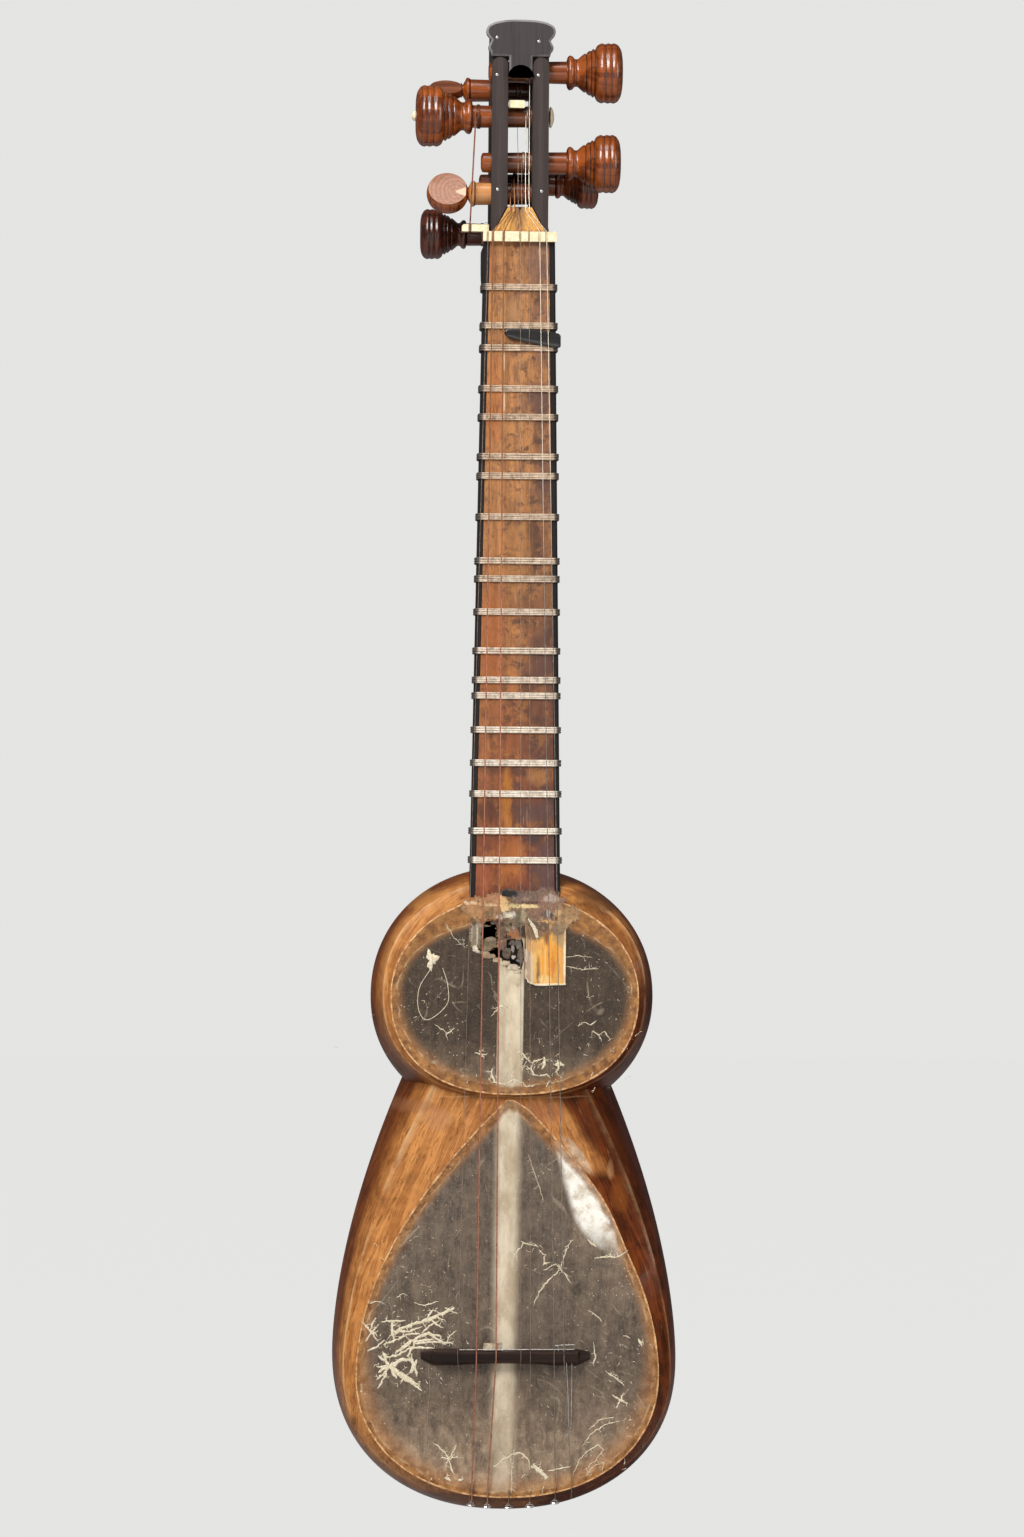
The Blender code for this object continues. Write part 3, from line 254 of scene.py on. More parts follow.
def ring_grain(x, y, z):
    """In the upper bowl the lines run round the rim. Also: how much painted shade a place gets, towards its right and
    its foot.
    """
    up = z - UPPER_MIDDLE[1]
    radius = (x * x + up * up) ** 0.5
    right = x.ramp(-5.0, 76.0) * z.ramp(-440.0, -372.0, 1.0, 0.15)
    return radius, x.math("ARCTAN2", x, up) * 75.0, (right * 0.92 + z.ramp(-505.0, -430.0, 0.5, 0.0)).clamp()


def shoulder_grain(x, y, z):
    """In the lower bowl they run down the shoulders, which lean outwards towards the foot. Also: how much painted shade
    a place gets, on the right shoulder and at the foot.
    """
    reach = abs(x - LOWER_MIDDLE[0])
    climb = ((z + 690.0) / 150.0).clamp()
    lean = climb * climb * 32.0 + (z + 540.0).most(0.0) * 0.43
    border = (x + z * 0.7 + 319.7).ramp(-3.0, 5.0).most(z.ramp(-540.0, -530.0, 1.0, 0.0))
    return reach + lean, z, (x.ramp(6.0, 34.0) * border * 0.95 + z.ramp(-735.0, -690.0, 0.5, 0.0)).clamp()


# Blots on the bowls: a chip and other darker and lighter patches, with painted light at the upper bowl's upper left and
# painted shade at its upper right and along the lower bowl's foot.
BODY_MARKS_LIGHT_AND_SHADE = (
    (430, 901, 26, 9, (0.60, 0.260, 0.070), 0.45), (582, 899, 12, 4, (0.54, 0.250, 0.070), 0.5),
    (606, 903, 26, 8, (0.10, 0.036, 0.012), 0.75), (596, 893, 20, 6, (0.12, 0.046, 0.018), 0.7),
    (613, 1170, 3, 9, (0.42, 0.220, 0.100), 0.6), (596, 1125, 16, 20, (0.070, 0.018, 0.006), 0.5),
    (622, 1150, 12, 26, (0.090, 0.022, 0.006), 0.6), (622, 1196, 8, 16, (0.24, 0.070, 0.012), 0.5),
    (470, 1500, 60, 6, (0.090, 0.026, 0.006), 0.7), (560, 1495, 50, 8, (0.075, 0.020, 0.005), 0.6),
    (600, 1215, 5, 20, (0.30, 0.110, 0.030), 0.5), (414, 1108, 24, 6, (0.34, 0.140, 0.060), 0.5),
    (440, 1120, 14, 10, (0.46, 0.220, 0.100), 0.5), (545, 1112, 20, 10, (0.30, 0.110, 0.050), 0.5),
)


def bowl_wood(name, grain, crease):
    """One bowl's wood: its grain, and the depth of the crease behind which it is painted darker."""
    def paint(place):
        x, y, z = place.axes()
        across, along, shade_share = grain(x, y, z)
        flow = across.joined(y, along)
        fibre = flow.scaled((1.0, 0.8, 0.06)).noise(1.1, 4.0, 0.6)
        pore = flow.scaled((1.0, 0.8, 0.05)).noise(2.4, 1.0, 0.4).ramp(0.60, 0.70)
        growth = flow.bent(0.03, 5.0).scaled((0.16, 0.07, 0.012)).noise(1.0, 3.0, 0.55, 0.8)
        lines = (growth * 24.0).math("SINE", growth * 24.0) * 0.5 + 0.5
        ribbon = flow.scaled((0.05, 0.05, 0.10)).noise(1.0, 3.0, 0.6, 1.4)
        streak = flow.bent(0.10, 5.0).scaled((0.55, 0.4, 0.10)).noise(1.0, 4.0, 0.65).ramp(0.56, 0.66)
        blotch = place.noise(0.07, 4.0, 0.6)
        tone = (fibre * 0.30 + lines * 0.15 + ribbon * 0.30 + blotch * 0.35).ramp(0.36, 0.74)
        # Each tone is painted in a lit copy and a shaded copy, mixed by the share of painted shade on the right and at
        # the foot.
        gold = shade_share.blend(tone.blend((0.32, 0.115, 0.030), (0.63, 0.27, 0.080)),
                               tone.blend((0.028, 0.003, 0.0005), (0.17, 0.030, 0.003)))
        behind_tone = shade_share.blend(tone.blend((0.100, 0.020, 0.003), (0.25, 0.068, 0.012)),
                               tone.blend((0.032, 0.004, 0.0005), (0.125, 0.020, 0.002)))
        behind = (y - crease).ramp(-1.0, 20.0)
        colour = behind.blend(gold, behind_tone)
        colour = (streak * 0.55).blend(colour, (0.085, 0.024, 0.006))
        colour = (pore * 0.5).blend(colour, (0.05, 0.018, 0.008))
        # A light line along the crease: edge wear with a painted highlight, weaker on the shaded right.
        edge = (y - crease + (place.noise(0.2, 2.0) - 0.5) * 0.8).band(0.0, 0.55, 0.5)
        edge_wear_and_highlight = edge * place.noise(0.05).ramp(0.35, 0.6)
        colour = (edge_wear_and_highlight * (0.55 - shade_share * 0.35)).blend(colour, (0.70, 0.44, 0.22))
        seam = abs(x).ramp(0.15, 0.6, 1.0, 0.0) * y.ramp(10.0, 14.0)
        colour = (seam * 0.8).blend(colour, (0.02, 0.01, 0.006))
        beside, beyond = (x + z * 0.8 + 383.0) / 4.5, (z - x * 0.8 + 554.0) / 17.0
        worn = (beside * beside + beyond * beyond + blotch * 1.4 - 0.7).ramp(0.1, 1.3, 1.0, 0.0)
        worn = worn * behind.ramp(0.0, 0.5, 1.0, 0.0) * place.noise(0.35, 4.0, 0.7).ramp(0.36, 0.56, 0.3, 1.0)
        colour = (worn * 0.72).blend(colour, (0.80, 0.62, 0.43))
        # Painted highlight: a thin light line along the lower bowl's top edge, under the upper bowl.
        brow = z + (place.noise(0.05, 3.0) - 0.5) * 3.0
        top_edge_highlight = brow.band(-491.9, 0.3, 0.4) * abs(x).ramp(34.0, 50.0, 1.0, 0.0) * behind.ramp(0.0, 0.5, 1.0, 0.0)
        colour = (top_edge_highlight * 0.4).blend(colour, (0.70, 0.42, 0.20))
        colour, _ = blots(place, colour, BODY_MARKS_LIGHT_AND_SHADE, 0.12, 0.9, (1.0, 1.0, 1.0), 3.0)
        stain = place.noise(0.045, 4.0, 0.65).ramp(0.55, 0.75)
        colour = (stain * 0.45).blend(colour, (0.06, 0.016, 0.005))
        scratch = flow.scaled((0.5, 0.5, 0.04)).noise(1.3, 2.0, 0.7, 0.3).ramp(0.66, 0.72)
        colour = (scratch * 0.16).blend(colour, (0.75, 0.52, 0.30))
        shine = 0.30 + stain * 0.2 + scratch * 0.2 + place.noise(0.2, 2.0) * 0.1
        return {"Base Color": colour, "Roughness": shine.clamp(),
                "height": (0.2, 0.15, fibre * 0.6 - pore * 0.5 - seam * 3.0)}
    return finish(name, paint, Coat_Weight=0.06, Coat_Roughness=0.12, Specular_IOR_Level=0.12)


RUBS = ((-8.6, -71.0, 5.0), (-8.2, -92.5, 6.5))


BOARD_MARKS = (
    (491, 262, 4, 24, (0.50, 0.150, 0.050), 0.5), (541, 258, 12, 26, (0.19, 0.095, 0.070), 0.55),
    (545, 330, 9, 30, (0.20, 0.095, 0.065), 0.55), (540, 400, 16, 14, (0.085, 0.040, 0.034), 0.75),
    (495, 400, 9, 40, (0.52, 0.150, 0.032), 0.5), (512, 312, 10, 12, (0.40, 0.210, 0.085), 0.5),
    (548, 470, 10, 40, (0.10, 0.045, 0.036), 0.6), (520, 560, 12, 40, (0.36, 0.150, 0.035), 0.5),
    (545, 660, 14, 26, (0.085, 0.036, 0.026), 0.7), (492, 640, 10, 50, (0.42, 0.105, 0.014), 0.55),
    (506, 768, 24, 6, (0.080, 0.026, 0.010), 0.7), (540, 775, 12, 8, (0.42, 0.180, 0.050), 0.5),
    (490, 812, 12, 12, (0.070, 0.016, 0.006), 0.8), (538, 812, 20, 9, (0.090, 0.042, 0.036), 0.8),
    (508, 800, 5, 30, (0.52, 0.185, 0.016), 0.7), (534, 838, 6, 4, (0.045, 0.026, 0.022), 0.8),
    (486, 840, 7, 12, (0.150, 0.030, 0.008), 0.6), (512, 860, 14, 22, (0.46, 0.135, 0.020), 0.6),
    (547, 868, 12, 22, (0.110, 0.050, 0.045), 0.75), (484, 876, 8, 14, (0.40, 0.100, 0.030), 0.5),
    (548, 894, 8, 6, (0.36, 0.240, 0.180), 0.5),
)


def paint_board(place):
    """The fingerboard: walnut, worn pale between the upper frets and stained dark along the treble side."""
    x, y, z = place.axes()
    fibre, pore, stretched = fibres(place, "Z", 1.3)
    growth = stretched.noise(0.16, 3.0, 0.5, 0.4)
    lines = (growth * 16.0).math("SINE", growth * 16.0) * 0.5 + 0.5
    tone = fibre * 0.5 + lines * 0.5
    up = tone.blend((0.31, 0.118, 0.034), (0.60, 0.26, 0.080))
    low = tone.blend((0.085, 0.010, 0.001), (0.28, 0.044, 0.003))
    drop = (z * -1.0 + x * 1.2 + (place.noise(0.02, 2.0) - 0.5) * 120.0).ramp(110.0, 400.0)
    colour = drop.blend(up, low)
    dirt = place.scaled((1.0, 1.0, 0.35)).noise(0.075, 5.0, 0.65).ramp(0.40, 0.60)
    side = x.ramp(-10.0, 12.0, 0.28, 0.88)
    middle = z.ramp(-350.0, -260.0) * z.ramp(-190.0, -110.0, 1.0, 0.0) * x.ramp(0.0, 12.0) * 0.45
    colour = (dirt * side).most(middle).blend(colour, (0.078, 0.028, 0.012))
    amber = place.scaled((1.0, 1.0, 0.7)).noise(0.11, 5.0, 0.7, 0.6).ramp(0.50, 0.62)
    colour = (amber * drop.ramp(0.0, 1.0, 0.40, 0.60)).blend(colour, drop.blend((0.62, 0.27, 0.070), (0.42, 0.140, 0.016)))
    plum = place.scaled((0.7, 1.0, 1.0)).noise(0.17, 5.0, 0.75, 0.5).ramp(0.50, 0.64)
    colour = (plum * x.ramp(-18.0, 6.0, 0.45, 0.85)).blend(colour, (0.060, 0.022, 0.014))
    shaded = x.ramp(0.0, 8.0) * z.ramp(-330.0, -120.0, 0.6, 0.15)
    colour = (shaded * 0.6).blend(colour, (0.085, 0.036, 0.022))
    fine = place.scaled((1.0, 1.0, 0.12)).noise(1.3, 3.0, 0.65).ramp(0.50, 0.66)
    colour = (fine * z.ramp(-260.0, -60.0, 0.25, 0.60)).blend(colour, (0.13, 0.055, 0.034))
    colour, _ = blots(place, colour, BOARD_MARKS, 0.30, 1.1, (1.0, 1.0, 0.35), 6.0)
    spot = place.noise(0.30, 4.0, 0.7).ramp(0.58, 0.70)
    colour = (spot * 0.5).blend(colour, (0.045, 0.020, 0.010))
    colour = (pore * 0.55).blend(colour, (0.06, 0.022, 0.010))
    rub = place.scaled((1.0, 1.0, 0.08)).noise(0.5, 3.0, 0.6).ramp(0.62, 0.74)
    colour = (rub * 0.35).blend(colour, (0.62, 0.38, 0.22))
    for middle, height, half in RUBS:
        mark = x.band(middle, 0.5, 0.3) * z.band(height, half, 2.0)
        colour = (mark * 0.7).blend(colour, (0.78, 0.60, 0.40))
    point = z.ramp(2.0, 5.0)
    fan = (x / (22.0 - z * 0.6)).joined(y, z * 0.02).noise(16.0, 4.0, 0.7)
    cleft = abs(x + 0.4).ramp(0.3, 5.0, 1.0, 0.0) * fan.ramp(0.35, 0.55)
    cleft = cleft.most(abs(x + 0.4).ramp(0.5, 1.6, 1.0, 0.0) * z.ramp(12.5, 14.5))
    bright = cleft.blend(fan.ramp(0.35, 0.65).blend((0.50, 0.22, 0.045), (0.86, 0.48, 0.12)), (0.15, 0.06, 0.018))
    colour = (point * 0.88).blend(colour, bright)
    return {"Base Color": colour, "Roughness": (0.42 + dirt * 0.25 + fibre * 0.1).clamp(),
            "height": (0.3, 0.15, fibre - pore)}


UPPER_WOOD = bowl_wood("upper_bowl_wood", ring_grain, 3.0)
LOWER_WOOD = bowl_wood("lower_bowl_wood", shoulder_grain, 9.0)
BOARD_WOOD = finish("board_wood", paint_board, Coat_Weight=0.1, Coat_Roughness=0.3)
print("figured woods made")

# %% [markdown]
# ## Skin
#
# The skin is the membrane of an ox heart, so thin that the ledge it is glued to shows through it as an amber
# border, and the neck stick inside shows as a pale bar. Where the stick lies deeper it shows softer. Dust, fine
# hair scratches and age speckle the skin grey. Towards the foot the amber border is painted wider, as painted light
# shining through the membrane, and beside the lower skin's right edge a painted highlight stands for the glare of a
# reflected light.

# %%
STICK_TOP_X, STICK_SLOPE, STICK_TOP_Z = -1.4, 0.0113, -378.0


def oval(x, up, half, top, bottom, power):
    """0 in the middle of an oval and 1 on its edge."""
    rise = up.most(0.0) / top + (up * -1.0).most(0.0) / bottom
    return ((abs(x) / half) ** power + rise ** power) ** (1.0 / power)


def upper_inside(x, z, half, top, bottom):
    """How far inside an upper outline a place lies, in millimetres."""
    return (1.0 - oval(x - UPPER_MIDDLE[0], z - UPPER_MIDDLE[1], half, top, bottom, 2.15)) * (half + top) * 0.5


def lower_inside(x, z, half, top, bottom):
    """The same for the lower bowl's drop: an arch above its widest line, a half oval below."""
    swell = z.ramp(-580.0, -550.0, 0.0, 4.3) * x.ramp(-2.0, 3.0)
    across, up = abs(x - swell - LOWER_MIDDLE[0]), z - LOWER_MIDDLE[1]
    arch = ((1.0 - (up.most(0.0) / top) ** 1.9) * half - across) * 0.85
    low = (1.0 - oval(x - LOWER_MIDDLE[0], up.least(0.0), half, top, bottom, 2.15)) * bottom
    return arch.least(low + up.ramp(-0.5, 0.5, 0.0, 90.0))


def skin(name, inside, rim, mouth, stick, glow_widths, dark, pale, haze_at, glare_at):
    """A membrane. inside gives how far in a place lies from an outline's three sizes, rim or mouth. The last two
    arguments give where it is dusty and where a painted highlight, the glare of a reflected light, lies on it."""
    top, low, glow, blur, half = stick
    deep, side_glow, foot_glow = glow_widths

    def paint(place):
        x, y, z = place.axes()
        cloud, mist = place.noise(0.035, 3.0, 0.6), place.noise(0.16, 4.0, 0.65)
        fine = place.noise(2.0, 3.0, 0.7)
        small = place.scaled((1.0, 1.0, 0.6)).noise(0.6, 4.0, 0.75)
        streaks = place.scaled((1.0, 1.0, 0.10)).noise(0.55, 4.0, 0.7)
        tone = (cloud * 0.18 + mist * 0.14 + small * 0.26 + streaks * 0.22 + fine * 0.20).ramp(0.38, 0.62)
        colour = tone.blend(dark, pale)
        dusty = haze_at(x, z) * place.scaled((1.0, 1.0, 0.4)).noise(0.16, 5.0, 0.7).ramp(0.15, 0.80)
        dusty = (dusty + small.ramp(0.50, 0.70) * haze_at(x, z) * 0.35).clamp()
        colour = dusty.blend(colour, mist.ramp(0.3, 0.7).blend((0.36, 0.240, 0.150), (0.58, 0.415, 0.27)))
        edge, wander = inside(x, z, *rim), (place.noise(0.16, 3.0) - 0.5) * 4.0
        ledge = inside(x, z, *mouth) + wander
        # The amber border: the ledge's wood seen through the membrane, and painted light shining through it where it
        # widens towards the foot.
        ledge_glow = ledge.ramp(-1.0, z.ramp(deep - 40.0, deep + 30.0, foot_glow, side_glow), 1.0, 0.0) ** 1.5
        colour = (ledge_glow * 0.72).blend(colour, mist.ramp(0.3, 0.7).blend((0.27, 0.095, 0.022), (0.56, 0.26, 0.085)))
        lean = (z - STICK_TOP_Z) * STICK_SLOPE + STICK_TOP_X
        off = abs(x - lean)
        length = z.ramp(low, low + 110.0) * z.ramp(top - 2.0, top, 1.0, 0.0)
        bar = off.ramp(half - blur, half + blur, 1.0, 0.0) * length
        mottle = place.scaled((1.0, 1.0, 0.4)).noise(0.12, 4.0, 0.65)
        timber = mottle.ramp(0.3, 0.7).blend((0.56, 0.43, 0.28), (0.86, 0.74, 0.54))
        colour = (bar * glow * off.ramp(0.5, 7.0, 1.0, 0.78)).blend(colour, timber)
        colour = (fine.ramp(0.58, 0.72) * 0.30).blend(colour, (0.38, 0.31, 0.23))
        dust = place.noise(0.85, 4.0, 0.8).ramp(0.60, 0.68)
        colour = (dust * 0.42).blend(colour, (0.46, 0.38, 0.28))
        dots = place.bent(0.3, 0.6).cells(0.42).ramp(0.10, 0.17, 1.0, 0.0) * place.noise(0.07, 3.0).ramp(0.50, 0.58)
        colour = (dots * 0.85).blend(colour, (0.66, 0.57, 0.42))
        for lean, scale, share in ((0.2, 0.024, 0.34), (-0.7, 0.020, 0.36), (1.6, 0.030, 0.30)):
            fallen = (x + z * lean).joined(y, (z - x * lean) * 0.30)
            hair = abs(fallen.noise(scale, 1.5, 0.4) - 0.5).ramp(0.10 * scale, 0.17 * scale, 1.0, 0.0)
            hair = hair * place.noise(scale * 2.4, 3.0).ramp(0.50, 0.62)
            colour = (hair * share).blend(colour, (0.46, 0.37, 0.26))
        grime = place.noise(0.13, 5.0, 0.7).ramp(0.52, 0.78)
        colour = (grime * 0.35).blend(colour, tuple(c * 0.6 for c in dark))
        # Painted highlight: the white glare of a reflected light, where the coat is also thicker.
        glare = glare_at(x, z, edge) * (mist * 0.75 + small * 0.25).ramp(0.34, 0.54, 0.72, 1.0)
        colour = (glare * 0.92).blend(colour, mist.ramp(0.3, 0.6).blend((0.78, 0.66, 0.50), (1.0, 0.96, 0.86)))
        ledge_wood = place.noise(0.20, 4.0, 0.7).ramp(0.32, 0.68).blend((0.13, 0.044, 0.009), (0.44, 0.195, 0.052))
        colour = (ledge.ramp(-1.2, 1.2, 1.0, 0.0) * 0.85).blend(colour, ledge_wood)
        shade = edge.ramp(2.0, 5.0) * edge.ramp(5.0, 9.0, 1.0, 0.0) * ledge.ramp(0.0, 2.0, 1.0, 0.0)
        colour = (shade * 0.35).blend(colour, (0.14, 0.055, 0.014))
        lip = ledge.band(0.6, 0.3, 0.5) * place.noise(0.12).ramp(0.45, 0.6)
        colour = (lip * 0.6).blend(colour, (0.62, 0.44, 0.24))
        flake = place.noise(0.5, 4.0, 0.75).ramp(0.61, 0.68) * edge.ramp(0.0, 12.0, 1.0, 0.0)
        colour = (flake * 0.5).blend(colour, (0.66, 0.50, 0.29))
        shine = 0.26 + dust * 0.25 + grime * 0.15
        return {"Base Color": colour, "Roughness": shine.clamp(), "Coat Weight": (glare * 0.5 + 0.05).clamp(),
                "height": (0.3, 0.22, place.noise(0.30, 4.0, 0.6) + fine * 0.3)}
    return finish(name, paint, Coat_Roughness=0.10, Specular_IOR_Level=0.22)


def clear_upper(x, z):
    return z.ramp(-478.0, -455.0, 0.30, 0.04)


def dusty_lower(x, z):
    """Dust gathers towards the foot, and by the upper right edge."""
    return (z.ramp(-715.0, -650.0, 0.95, 0.22) + x.ramp(15.0, 60.0) * z.ramp(-640.0, -540.0) * 0.35).clamp()


def no_glare(x, z, edge):
    return edge * 0.0


def shoulder_glare(x, z, edge):
    """Painted highlight: beside the right edge of its upper half the lower skin is painted white for the glare of a
    reflected light, up to a curve from top to side.
    """
    down = (z * -1.0 - 517.0).most(0.0)
    left = down * 0.24 + (down / 54.0) ** 6.0 * 5.0 + 24.4
    ends = z.ramp(-588.0, -560.0) * z.ramp(-519.0, -514.0, 1.0, 0.0)
    return (x - left).ramp(-2.6, 2.6) * edge.ramp(-0.2, 0.4) * ends


UPPER_SKIN = skin("upper_skin", upper_inside, (71.0, 57.2, 56.9), (68.0, 43.2, 52.5), (-400.0, -560.0, 0.95, 0.5, 7.4),
                  (-450.0, 6.0, 8.0), (0.014, 0.008, 0.004), (0.070, 0.042, 0.023), clear_upper, no_glare)
LOWER_SKIN = skin("lower_skin", lower_inside, (86.8, 157.3, 70.4), (84.5, 152.0, 67.5),
                  (-493.0, -760.0, 0.90, 3.2, 6.5), (-640.0, 6.0, 14.0), (0.022, 0.016, 0.012),
                  (0.132, 0.098, 0.074), dusty_lower, shoulder_glare)
print("skins made")

# %% [markdown]
# ## Bone, gut, horn, wire, and what flakes off a skin

# %%
def paint_bone(place):
    grain = place.noise(0.6, 4.0, 0.6)
    crack = place.scaled((0.4, 1.0, 1.0)).noise(1.2, 3.0, 0.7).ramp(0.66, 0.71)
    colour = grain.ramp(0.3, 0.7).blend((0.76, 0.62, 0.36), (0.92, 0.82, 0.58))
    colour = (crack * 0.5).blend(colour, (0.42, 0.27, 0.12))
    return {"Base Color": colour, "Roughness": (0.32 + grain * 0.15).clamp(), "height": (0.2, 0.1, grain - crack)}


def paint_gut(place):
    """Gut is pale where fingers seldom press, and tan with grease near the nut. Where it wraps round the neck's sides
    it is painted nearly black as shade.
    """
    along = place.noise(0.5, 3.0, 0.6)
    age = place.axes()[2].ramp(-420.0, -100.0)
    colour = along.ramp(0.3, 0.7).blend((0.72, 0.62, 0.49), (1.0, 0.94, 0.82))
    colour = (age * 0.75).blend(colour, along.ramp(0.3, 0.7).blend((0.30, 0.17, 0.085), (0.60, 0.40, 0.24)))
    dirt = place.noise(0.35, 4.0, 0.7).ramp(0.52, 0.68)
    colour = (dirt * 0.55).blend(colour, (0.16, 0.10, 0.06))
    x, _, z = place.axes()
    # Painted shade: nearly black where the strands turn round the neck's edges, away from the light.
    wrapped_shade = (abs(x) + z * 0.0152 - 20.3).ramp(-2.4, -0.8)
    colour = (wrapped_shade * 0.93).blend(colour, (0.034, 0.026, 0.021))
    return {"Base Color": colour, "Roughness": (0.45 + dirt * 0.3).clamp(), "height": (0.3, 0.1, along)}


def paint_horn(place):
    streak = place.scaled((0.1, 1.0, 1.0)).noise(0.8, 3.0)
    return {"Base Color": streak.blend((0.008, 0.008, 0.009), (0.035, 0.032, 0.030)),
            "Roughness": (0.22 + streak * 0.2).clamp(), "height": (0.1, 0.1, streak)}


def metal(name, bright, dull, rough, near_nut=None):
    """Wire. near_nut is its tone by the first frets, if hands have left another there."""
    def paint(place):
        patina = place.noise(0.25, 5.0, 0.7).ramp(0.42, 0.66)
        fine = place.noise(3.0, 2.0)
        colour = patina.blend(bright, dull)
        if near_nut:
            colour = place.axes()[2].ramp(-230.0, -90.0).blend(colour, near_nut)
        return {"Base Color": colour, "Roughness": (rough + patina * 0.3).clamp(), "height": (0.15, 0.05, fine)}
    return finish(name, paint, Metallic=1.0)


def speckled(name, low, high, rough=0.5, fine=0.8):
    """A dry matt stuff between two tones: flakes, glue, scraps of skin."""
    def paint(place):
        tone = place.noise(fine, 4.0, 0.65)
        return {"Base Color": tone.ramp(0.34, 0.66).blend(low, high), "Roughness": (rough + tone * 0.3).clamp(),
                "height": (0.3, 0.1, tone)}
    return finish(name, paint)


BONE = finish("bone", paint_bone, Coat_Weight=0.2, Coat_Roughness=0.2)
GUT = finish("gut", paint_gut)
HORN = finish("horn", paint_horn, Coat_Weight=0.5, Coat_Roughness=0.12, Specular_IOR_Level=0.3)
STEEL = metal("steel", (0.46, 0.36, 0.28), (0.27, 0.19, 0.14), 0.5)
BRIGHT = metal("bright_wire", (0.78, 0.76, 0.72), (0.42, 0.39, 0.35), 0.30)
OLD_COPPER = metal("old_copper", (0.24, 0.095, 0.055), (0.12, 0.050, 0.030), 0.5)
COPPER = metal("copper", (0.60, 0.27, 0.18), (0.42, 0.165, 0.11), 0.48, (0.36, 0.17, 0.080))
PALE_WIRE = metal("pale_wire", (0.36, 0.33, 0.29), (0.20, 0.175, 0.15), 0.42, (0.95, 0.86, 0.70))
FLAKE = speckled("flake", (0.60, 0.48, 0.30), (0.86, 0.78, 0.60))
HAIR = speckled("hair_scratch", (0.24, 0.18, 0.12), (0.46, 0.37, 0.26))
RIM_GLUE = speckled("rim_glue", (0.34, 0.135, 0.036), (0.78, 0.47, 0.22), 0.4, 0.35)
MEMBRANE = speckled("membrane", (0.045, 0.020, 0.009), (0.34, 0.175, 0.075), 0.35, 0.34)
AMBER = speckled("amber_membrane", (0.20, 0.080, 0.026), (0.56, 0.30, 0.13), 0.35, 0.30)
OLIVE = speckled("olive_membrane", (0.055, 0.040, 0.022), (0.30, 0.22, 0.13), 0.35, 0.45)
PARCHMENT = speckled("parchment", (0.30, 0.22, 0.14), (0.56, 0.46, 0.34), 0.4, 0.4)
YELLOW = speckled("broken_board", (0.48, 0.26, 0.085), (0.84, 0.60, 0.26), 0.5, 0.35)
# Painted shade: near black, for a plate that stands for the dark hollow behind the board's broken end.
HOLLOW_SHADE = speckled("hollow_shade", (0.006, 0.005, 0.005), (0.022, 0.017, 0.014), 0.6, 0.5)
print("small finishes made")

# %% [markdown]
# ## The pegs' wood
#
# The pegs are not a set: pegs break and are replaced, so some are honey brown, others nearly black. A lathe leaves
# grooves, and a century of hands leaves dirt in them. Two pegs have a ball planed flat on both sides, and there
# the saw has opened the end grain, in arcs.

# %%
KNOB_LENGTH, KNOB_RADIUS, BALL_RADIUS, HALF_BOX = 32.0, 17.2, 12.0, 16.3
GROOVES = (0.02, 0.175, 0.35, 0.435, 0.51, 0.69, 0.80, 0.90)


def peg_wood(name, light, dark, head_start, size, shaft=None, rough=0.26, coat=0.8):
    """Turned wood with dirt in the grooves, and painted shade on the shaft inside the pegbox's slot. head_start is
    where the knob begins, out from the middle, and shaft the tone between it and the box, if that differs."""
    def groove_dirt_and_slot_shade(place, colour):
        out = abs(place.axes()[0])
        share = (out - head_start) / (KNOB_LENGTH * size)
        # Painted shade: the shaft is darker inside the slot of the pegbox.
        colour = (out.ramp(6.0, 8.0, 1.0, 0.0) * 0.5).blend(colour, (0.050, 0.020, 0.008))
        if shaft:
            colour = (out.ramp(14.0, 17.0) * share.ramp(0.10, 0.16, 1.0, 0.0)).blend(colour, shaft)
        dirt = share.band(GROOVES[0], 0.010, 0.012)
        for groove in GROOVES[1:]:
            dirt = dirt.most(share.band(groove, 0.008, 0.014))
        on_head = share.ramp(-0.04, 0.0)
        worn = on_head * place.noise(0.16, 3.0, 0.6).ramp(0.52, 0.70)
        colour = (worn * 0.35).blend(colour, tuple(min(1.0, c * 1.5) for c in light))
        return (dirt * 0.82).blend(colour, (0.016, 0.007, 0.004))
    return wood(name, light, dark, "X", rough=rough, coat=coat, wear=0.35, marks=groove_dirt_and_slot_shade)


RED_BROWN = ((0.34, 0.078, 0.011), (0.120, 0.022, 0.003))
DARK_RED = ((0.25, 0.054, 0.013), (0.090, 0.017, 0.005))
BLACK_RED = ((0.11, 0.020, 0.006), (0.034, 0.006, 0.002))
ARC_X, ARC_V = -36.6, 0.5


def paint_end_grain(place):
    """Sawn across: growth arcs round a heart near one edge, and a pale cone beside the neck of the ball."""
    x, y, z = place.bent(0.12, 1.6).axes()
    out = ((x - ARC_X) * (x - ARC_X) + (z - ARC_V) * (z - ARC_V)) ** 0.5
    arcs = (out * 2.6).math("SINE", out * 2.6) * 0.5 + 0.5
    grain = place.noise(0.9, 4.0, 0.65)
    colour = (arcs * 0.14 + grain * 0.86).ramp(0.28, 0.72).blend((0.20, 0.072, 0.030), (0.42, 0.175, 0.085))
    cone = (abs(z - ARC_V) + (x + 29.0) * -0.42).ramp(3.2, 4.0, 1.0, 0.0) * x.ramp(-37.0, -35.5)
    colour = (cone * 0.7).blend(colour, (0.84, 0.58, 0.38))
    spot = place.noise(0.5, 3.0, 0.7).ramp(0.62, 0.72)
    colour = (spot * 0.5).blend(colour, (0.16, 0.06, 0.03))
    return {"Base Color": colour, "Roughness": (0.34 + grain * 0.2).clamp(), "height": (0.2, 0.1, grain)}


